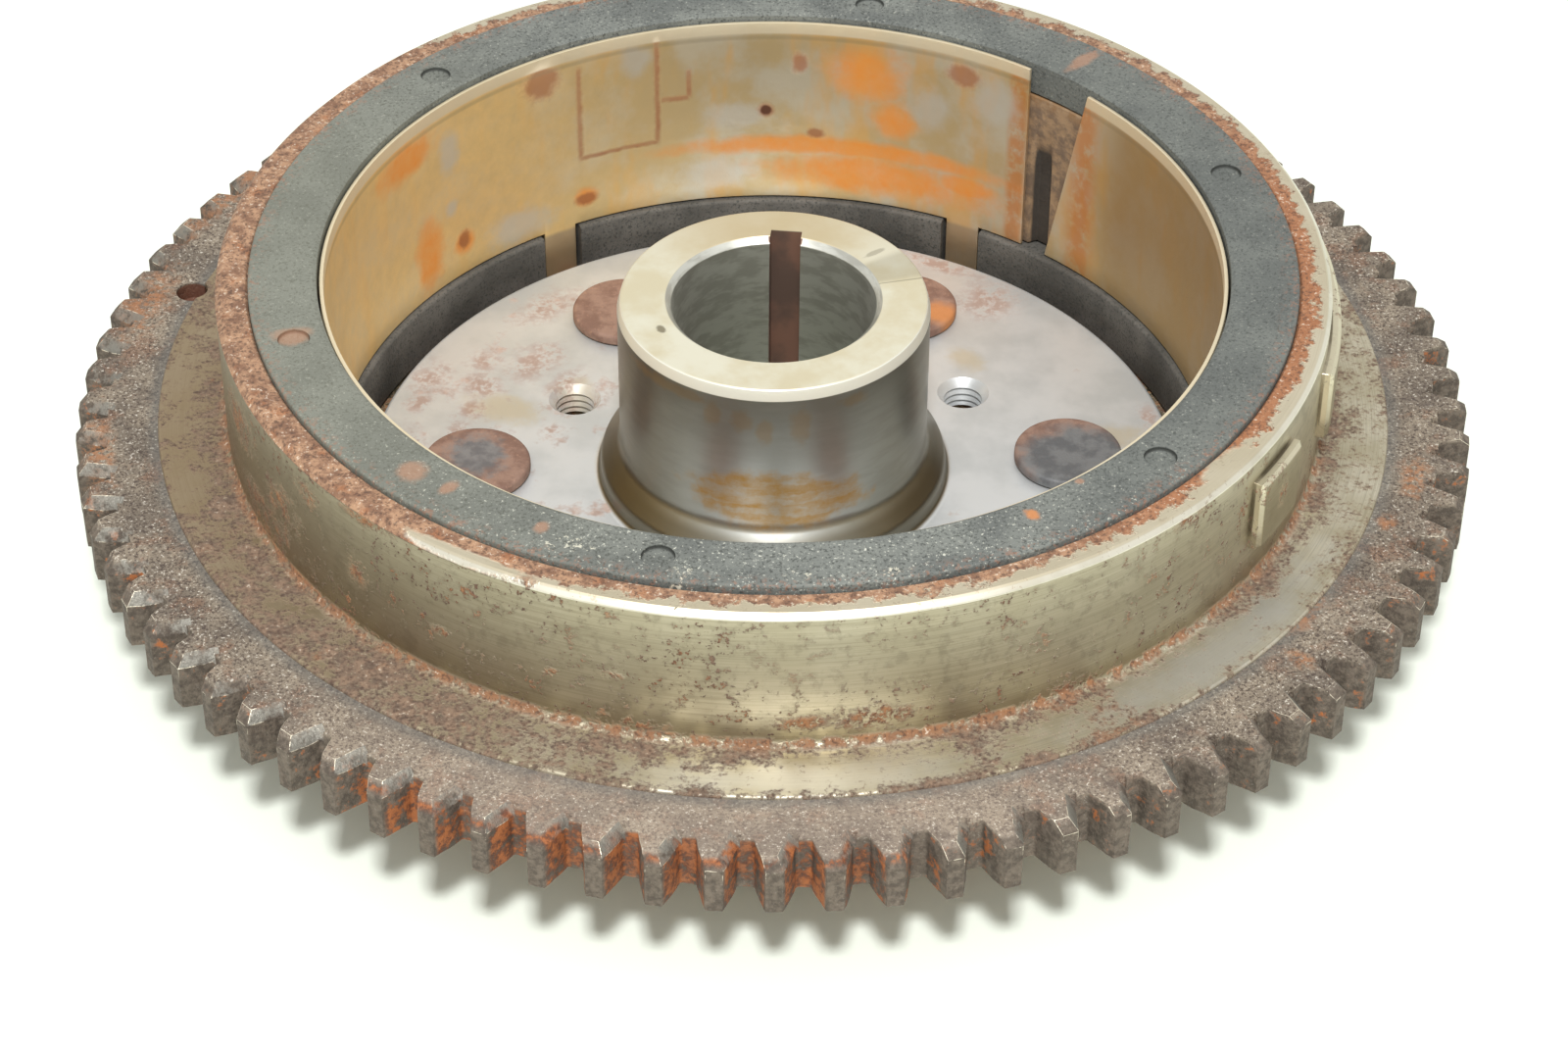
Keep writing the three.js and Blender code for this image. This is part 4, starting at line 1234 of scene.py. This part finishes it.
turned_lines = h.tool_lines(0.22, h.z + h.radius, 4.0)
soft_lines = h.tool_lines(1.6, h.z + h.radius, 3.0, seed=5.0)
cloudy = h.cloud(8.0, 4.0, 0.55, seed=2.0)
pale = h.mix(tone(194, 197, 198), tone(209, 211, 212), cloudy.rise(0.35, 0.65))
pinkish = h.cloud(5.0, 4.0, 0.6, seed=9.0)
left_side = h.away(165).rise(-75.0, -30.0) * h.away(165).rise(70.0, 30.0)
pink_spots = h.patches(
    [(176, 48, 4.5, 2.2), (165, 49, 2.4, 1.4), (158, 49.5, 3.2, 2.4), (157, 42.5, 3.2, 2.6), (164, 41, 2.6, 1.8),
     (172, 41.5, 3.5, 1.8), (150, 45, 2.8, 2.0), (145, 39, 6, 2.6), (148, 33, 5, 1.5), (132, 47, 6, 2.2), (167, 30, 2.5, 1.2),
     (150, 27, 3.4, 1.2), (12, 50.6, 2.2, 1.2), (52, 47, 4.5, 3.5), (64, 51, 7, 1.2)],
    h.radius,
    ragged=1.1,
    soft=0.8,
    grain=2.6,
)
torn = h.cloud(1.3, 4.0, 0.65, seed=15.0)
pink_rust = (pink_spots * torn.rise(0.36, 0.56)).most((pinkish + left_side * 0.10).rise(0.66, 0.80)) * plate
straw = h.patches([(162, 37.5, 4, 4.5), (150, 31, 5, 2), (42, 35, 4, 1.8), (8, 44, 3, 5)], h.radius, ragged=0.7, soft=0.6)
pale = h.mix(pale, tone(196, 182, 148), straw * plate * 0.55)
pale = h.mix(pale, h.mix(tone(184, 158, 144), tone(158, 128, 112), torn.rise(0.4, 0.6)), pink_rust * 0.8)
olive = h.mix(tone(178, 179, 168), tone(150, 149, 135), soft_lines.rise(0.36, 0.64) * 0.5)
olive = h.mix(olive, tone(112, 98, 80), h.away(-180).rise(-70.0, -20.0) * h.away(-180).rise(70.0, 20.0) * 0.6)
# Painted reflection and shade: the nose's side is painted lighter and bluish where it faces the front, and darker
# towards its sides.
painted_front_reflection = h.away(-90).rise(-58.0, -12.0) * h.away(-90).rise(58.0, 12.0)
olive = h.mix(olive, tone(118, 114, 100), (1 - painted_front_reflection) * 0.6)
olive = h.mix(olive, tone(196, 200, 202), painted_front_reflection * 0.5)
olive = h.mix(olive, tone(116, 110, 94), h.z.rise(COLLAR_TOP + 0.8, COLLAR_TOP - 0.4) * 0.65)
golden_edge = h.cloud(2.4, 4.0, 0.62, seed=4.0, stretch=(1, 1, 2.6))
pool = h.patch(-88, 18.0, 31, 4.2, h.z, ragged=0.55, soft=0.22, grain=3.2)
rings_in_pool = h.tool_lines(0.9, h.z + golden_edge * 2.0, 2.0, seed=8.0)
golden = pool * (0.5 + rings_in_pool.rise(0.4, 0.62) * 0.3 + (torn - 0.5) * 1.0).least(1.0)
drips = h.patches([(-101, 30.5, 4, 1.4), (-93, 29, 3, 1.8), (-80, 30, 3.5, 2.4), (-60, 32.3, 5, 0.8), (-130, 32.6, 18, 0.8), (-112, 31, 3, 1.8)], h.z, ragged=0.9, soft=0.5)
olive = h.mix(olive, tone(188, 148, 84), (golden * 1.0).most(drips * 0.35) * side)
face = h.mix(tone(246, 242, 222), tone(234, 224, 194), cloudy.rise(0.38, 0.64))
face = h.mix(face, tone(214, 192, 150), h.away(95).rise(-80.0, -10.0) * h.away(95).rise(70.0, 10.0) * 0.7)
scratch = h.away(13.6).inside(-0.35, 0.35, 0.25) * 0.55
dark_wedge = h.away(24).inside(-9, 9, 2.5) * 0.3
nick = h.patch(-154, 15.6, 3.2, 0.5, h.radius, ragged=0.6, soft=0.3)
face = h.mix(face, tone(132, 122, 98), scratch.most(dark_wedge).most(nick * 0.8).most(h.patch(38, 16.3, 1.6, 1.6, h.radius) * 0.4))
bore_tone = h.mix(tone(218, 218, 210), tone(194, 193, 184), soft_lines.rise(0.4, 0.6))
key_tone = h.mix(tone(134, 100, 84), tone(104, 84, 74), cloudy.rise(0.4, 0.6))
colour = h.mix(pale, olive, side)
colour = h.mix(colour, bore_tone, in_bore)
colour = h.mix(colour, key_tone, in_key)
colour = h.mix(colour, tone(248, 249, 238), nose_bevel)
colour = h.mix(colour, face, on_face)
key_or_rust = (pink_rust * 0.55).most(in_key)
gloss = 0.29 + plate * 0.14 + on_face * 0.10 + in_bore * 0.06 + turned_lines * 0.08 + pink_rust * 0.25 + golden * side * 0.18 + in_key * 0.3
hub_normal = h.bump(turned_lines * 0.4 + soft_lines * 0.2 + pink_rust * 0.4 - scratch * on_face, 0.02)
hub_steel = h.done(colour, gloss, 0.95 - (plate.most(nose_bevel) * 0.45) - key_or_rust * 0.45, hub_normal)

# %% [markdown]
# ## The rivets' rust
#
# Four rivet heads can be seen from the open side, and no two rusted alike. The mask for each uses its own
# angle about the rotor's axis, so one material serves all six.

# %% The rivets' finish
rivet_paint = Finish("rivet_steel", specular=0.4)
v = rivet_paint
grain = v.cloud(0.8, 4.0, 0.65, seed=2.0)
lumps = v.cloud(2.6, 4.0, 0.6, seed=4.0)
brown = v.mix(tone(150, 122, 108), tone(126, 98, 86), lumps.rise(0.38, 0.62))
brown = v.mix(brown, tone(176, 140, 120), grain.rise(0.56, 0.7) * 0.5)
slate = v.mix(tone(120, 123, 125), tone(100, 103, 106), lumps.rise(0.4, 0.6))
grey_middle = v.patch(181, 38.5, 6.0, 3.6, v.radius, ragged=0.7, soft=0.4)
grey_right = v.away(2.3).inside(-20, 20, 4) * v.patch(-1.6, 39.8, 11.0, 7.6, v.radius, ragged=0.3, soft=0.25, grain=2.4)
head = v.mix(brown, slate, (grey_middle * 0.85).most(grey_right * 0.95))
# An orange glint is painted onto the head at the back right.
painted_orange_glint = v.patch(54.5, 39.0, 4.0, 2.2, v.radius, ragged=0.4, soft=0.5)
head = v.mix(head, tone(200, 134, 80), painted_orange_glint * 0.85)
rivet_normal = v.bump(grain * 0.8 + lumps * 0.8, 0.12)
rivet_steel = v.done(head, 0.62 + lumps * 0.2 - grey_right * 0.12, 0.15 + grey_right * 0.2, rivet_normal)

# %% [markdown]
# ## The sleeve's stained steel
#
# The sleeve is pale steel that water has stained straw and orange, most of all in a band low at the back. A
# rectangle of brown lines shows where a core of the stator rusted against it. Straight marks are bands of
# angle and height, and everything else is ragged ovals.

# %% The sleeve's finish
sleeve_paint = Finish("stained_sleeve_steel")
s = sleeve_paint
wash = s.cloud(11.0, 4.0, 0.6, seed=3.0)
fine = s.cloud(2.2, 4.0, 0.65, seed=1.0)
upright = s.cloud(6.0, 3.0, 0.6, seed=5.0, stretch=(1, 1, 0.35))
sheet = s.mix(tone(206, 184, 140), tone(212, 202, 178), wash.rise(0.40, 0.62))
sheet = s.mix(sheet, tone(232, 182, 104), upright.rise(0.46, 0.68) * 0.6)
left_tan = s.away(172).rise(-78.0, -34.0) * s.away(172).rise(70.0, 30.0)
sheet = s.mix(sheet, tone(252, 218, 150), left_tan * (0.35 + fine * 0.7))
right_olive = s.away(10).rise(-50.0, -10.0) * s.away(10).rise(34.0, 24.0)
sheet = s.mix(sheet, tone(168, 138, 92), right_olive * 0.75)
strong = s.patches(
    [(75, 17.6, 14, 3.0), (80, 21.6, 24, 1.4), (62, 19.0, 5, 1.6), (146, 19, 2.6, 5.2), (150, 36.5, 6, 2.6),
     (118, 17.0, 1.8, 1.4), (139, 18, 1.6, 1.6), (77, 34, 5, 4), (73, 27, 3, 3)],
    s.z,
    ragged=0.6,
    soft=0.5,
    grain=4.0,
)
sheet = s.mix(sheet, tone(240, 156, 66), strong * (0.5 + fine * 0.6))
seam_side = s.away(SEAM_MIDDLE)
fringe = seam_side.inside(4.8, 7.6, 0.7).most(seam_side.inside(-7.6, -3.4, 1.6)) * (fine + 0.35).rise(0.6, 0.9)
sheet = s.mix(sheet, tone(214, 136, 60), fringe * 0.7)
cool = s.patches([(96, 26.5, 4, 2.0), (141, 33, 1.8, 3), (141, 24.5, 1.2, 1.2), (58, 34, 3.4, 4), (68, 30, 3, 3), (110, 37, 2.0, 2.4), (99, 17, 5, 2.4), (129, 16, 5, 2.5)], s.z, ragged=0.7, soft=0.5, grain=3.0)
sheet = s.mix(sheet, tone(214, 212, 204), cool * 0.6)
wobble = (fine - 0.5) * 1.2
turn_angle = s.away(112.8) + wobble * 0.6
frame_left = turn_angle.inside(5.4, 6.2, 0.3) * s.z.inside(23.2, 38, 0.8)
frame_right = turn_angle.inside(-6.2, -5.4, 0.3) * s.z.inside(23.2, 40, 0.8)
frame_low = (s.z + wobble * 0.5).inside(23.0, 23.7, 0.25) * turn_angle.inside(-6, 6, 0.4)
hook = (s.z + wobble * 0.5).inside(29.6, 30.4, 0.3) * s.away(104.6).inside(-2.2, 1.8, 0.3)
hook = hook.most(s.away(102.4).inside(-0.4, 0.4, 0.25) * s.z.inside(30, 34.5, 0.5))
outline_mark = frame_left.most(frame_right).most(frame_low).most(hook) * (0.35 + fine * 0.7)
dots = s.patches([(124.5, 37.6, 3.0, 2.6), (91.5, 27.2, 1.2, 1.1), (63, 36.8, 2.4, 1.8), (86.8, 35, 1.1, 1.6), (84.4, 23.6, 1.2, 0.8), (139, 18.4, 1.2, 1.4), (45, 35.5, 1.2, 1.0), (118, 16.6, 1.6, 1.0)], s.z, ragged=0.45, soft=0.4, grain=1.8)
sheet = s.mix(sheet, tone(150, 92, 58), outline_mark.most(dots * 0.8))
sheet = s.mix(sheet, tone(96, 60, 42), s.patch(91.5, 27.2, 0.8, 0.8, s.z, ragged=0.3))
lip = s.z.rise(COVER_TOP - 1.9, COVER_TOP - 1.5)
sheet = s.mix(sheet, tone(236, 224, 196), lip * 0.85)
sheet = s.mix(sheet, tone(150, 136, 108), s.z.inside(COVER_TOP - 2.6, COVER_TOP - 2.0, 0.2) * 0.3)
tabs = s.z.rise(12.8, 12.0)
sheet = s.mix(sheet, tone(178, 158, 132), tabs * 0.8)
stained = (outline_mark + dots + strong * 0.4).least(1.0)
sleeve_normal = s.bump(fine * 0.7 + wash * 0.6 + stained * 0.3, 0.10)
sleeve_steel = s.done(sheet, 0.42 + stained * 0.25 + upright * 0.12, 0.80 - stained * 0.4, sleeve_normal)

# %% [markdown]
# ## The black mouldings
#
# Both mouldings are a filled black plastic that has greyed, with pale dust in its pores. Dust is two layers
# of specks: many fine ones and a few larger crumbs. The arcs at the bottom stay darker, because less dust
# and light get there.

# %% The mouldings' finishes
def moulding(name, light, dark, dust_share, orange):
    """Greyed black plastic with pale specks. `orange` adds the top ring's own rust marks and dust, a greenish tint, and
    painted shade on one side and in the dimples.
    """
    m = Finish(name, specular=0.35)
    broad = m.cloud(9.0, 3.0, 0.55, seed=3.0)
    pores = m.cloud(0.38, 2.0, 0.7, seed=6.0)
    crumbs = m.cloud(0.75, 2.0, 0.6, seed=9.0)
    tint = m.mix(light, dark, broad.rise(0.36, 0.64))
    tint = m.mix(tint, tone(48, 50, 47), pores.rise(0.52, 0.66) * 0.7)
    dusty = m.away(-88).rise(-75.0, -30.0) * m.away(-88).rise(75.0, 30.0)
    flakes = pores.rise(0.37, 0.29).most(crumbs.rise(0.30, 0.24)) * (dusty * 0.6 + 0.4) * dust_share
    tint = m.mix(tint, tone(206, 206, 192), flakes)
    if orange:
        greenish = m.away(-175).rise(-70.0, -20.0) * m.away(-175).rise(90.0, 20.0)
        tint = m.mix(tint, tone(122, 122, 106), greenish * 0.45)
        shaded = m.away(0).rise(-70.0, -40.0) * m.away(0).rise(80.0, 40.0)
        tint = m.mix(tint, tone(78, 81, 78), shaded * 0.4)
        # Painted shade: the insides of the ejector dimples are painted dark.
        pits = m.z.inside(RING_TOP - 0.52, RING_TOP - 0.12, 0.08)
        tint = m.mix(tint, tone(44, 46, 43), pits * m.radius.inside(58, 64, 0.3) * 0.85)
        dirt = m.patches([(-133, 61, 1.7, 1.7), (-115.5, 60.6, 0.8, 1.0), (-52, 57.8, 0.5, 0.5), (-163, 61, 1.2, 2.2), (48, 61.5, 0.9, 3), (-128, 60.5, 0.8, 1.4)], m.radius, ragged=0.5, soft=0.4)
        tint = m.mix(tint, tone(168, 124, 96), dirt * 0.55)
        burr = m.patch(-60, 59.8, 0.7, 1.0, m.radius, ragged=0.6, soft=0.5, grain=0.8)
        tint = m.mix(tint, tone(184, 122, 74), burr * 0.9)
        shed = m.cloud(0.7, 3.0, 0.7, seed=14.0)
        rust_dust = m.radius.rise(62.5, 65.0) * shed.rise(0.52, 0.62) * (1 - flakes)
        tint = m.mix(tint, tone(150, 104, 80), rust_dust * 0.45)
        crumbled = m.patches([(-112, 62, 2.4, 1.4), (-99, 64, 1.0, 1.8), (-87, 62.8, 1.5, 1.0), (-77, 63.5, 1.2, 0.8)], m.radius, ragged=1.3, soft=0.3, grain=0.9)
        tint = m.mix(tint, tone(216, 212, 192), crumbled * shed.rise(0.56, 0.62) * 0.7)
    texture = m.bump(pores * 0.9 + crumbs * 0.5 + broad * 0.3, 0.09)
    return m.done(tint, 0.68 - flakes * 0.1, 0.0, texture)


top_black = moulding("greyed_black_moulding", tone(116, 119, 114), tone(97, 100, 97), 0.8, True)
low_black = moulding("dark_black_moulding", tone(98, 95, 90), tone(76, 74, 70), 0.12, False)

# %% [markdown]
# ## Resin and ferrite
#
# The resin between the magnets is brown and dull, and it is darkest in its slot. The magnets are a grey
# ceramic that nobody sees once the rotor is built, but it still gets the fine grain of a pressed powder.

# %% The resin's and the magnets' finishes
r = Finish("brown_resin", specular=0.3)
clot = r.cloud(1.6, 4.0, 0.62, seed=2.0)
resin_tone = r.mix(tone(148, 122, 94), tone(112, 94, 78), clot.rise(0.36, 0.64))
in_slot = r.radius.rise(MAGNET_FROM + 0.2, MAGNET_FROM + 0.6)
resin_tone = r.mix(resin_tone, tone(64, 58, 52), in_slot)
resin_tone = r.mix(resin_tone, tone(150, 112, 70), r.z.rise(34.5, 36.8) * clot.rise(0.42, 0.6) * 0.6)
resin_brown = r.done(resin_tone, 0.6 + clot * 0.2, 0.0, r.bump(clot, 0.25))

c = Finish("pressed_ferrite", specular=0.4)
powder = c.cloud(0.5, 3.0, 0.7)
ferrite_tone = c.mix(tone(78, 78, 80), tone(58, 58, 60), powder.rise(0.4, 0.6))
ferrite = c.done(ferrite_tone, 0.55 + powder * 0.2, 0.1, c.bump(powder, 0.04))

# %% [markdown]
# ## Dressing the pieces
#
# Each piece gets its material, the name of the CAD body it moves with and the CAD nodes that it stands for.
# The last lines print the box of the visual model and the CAD's own.

# %% Dress every piece and finish
def numbered(stem):
    """The names of six numbered CAD nodes."""
    return [f"{stem}_{i}" for i in range(1, 7)]


dress(drum, drum_steel, "drum_steel", "rotor_drum")
dress(gear, gear_steel, "gear_steel", "ring_gear")
dress(hub, hub_steel, "hub_steel", "hub")
dress(rivets, rivet_steel, "rivet_steel", *numbered("rivet"))
dress(sleeve, sleeve_steel, "cover_steel", "magnet_cover")
dress(top_ring, top_black, "black_moulding", "top_retaining_ring")
dress(spacers, low_black, "black_moulding", *numbered("lower_spacer"))
dress(magnets, ferrite, "ceramic_magnet", *numbered("magnet"))
dress(resin, resin_brown, "brown_resin", *numbered("magnet_gap_filler"))

visual_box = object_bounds()
for label, (low, high) in (("CAD", cad_box), ("visual", visual_box)):
    print(label, [round((b - a) / MM, 2) for a, b in zip(low, high)], "mm")
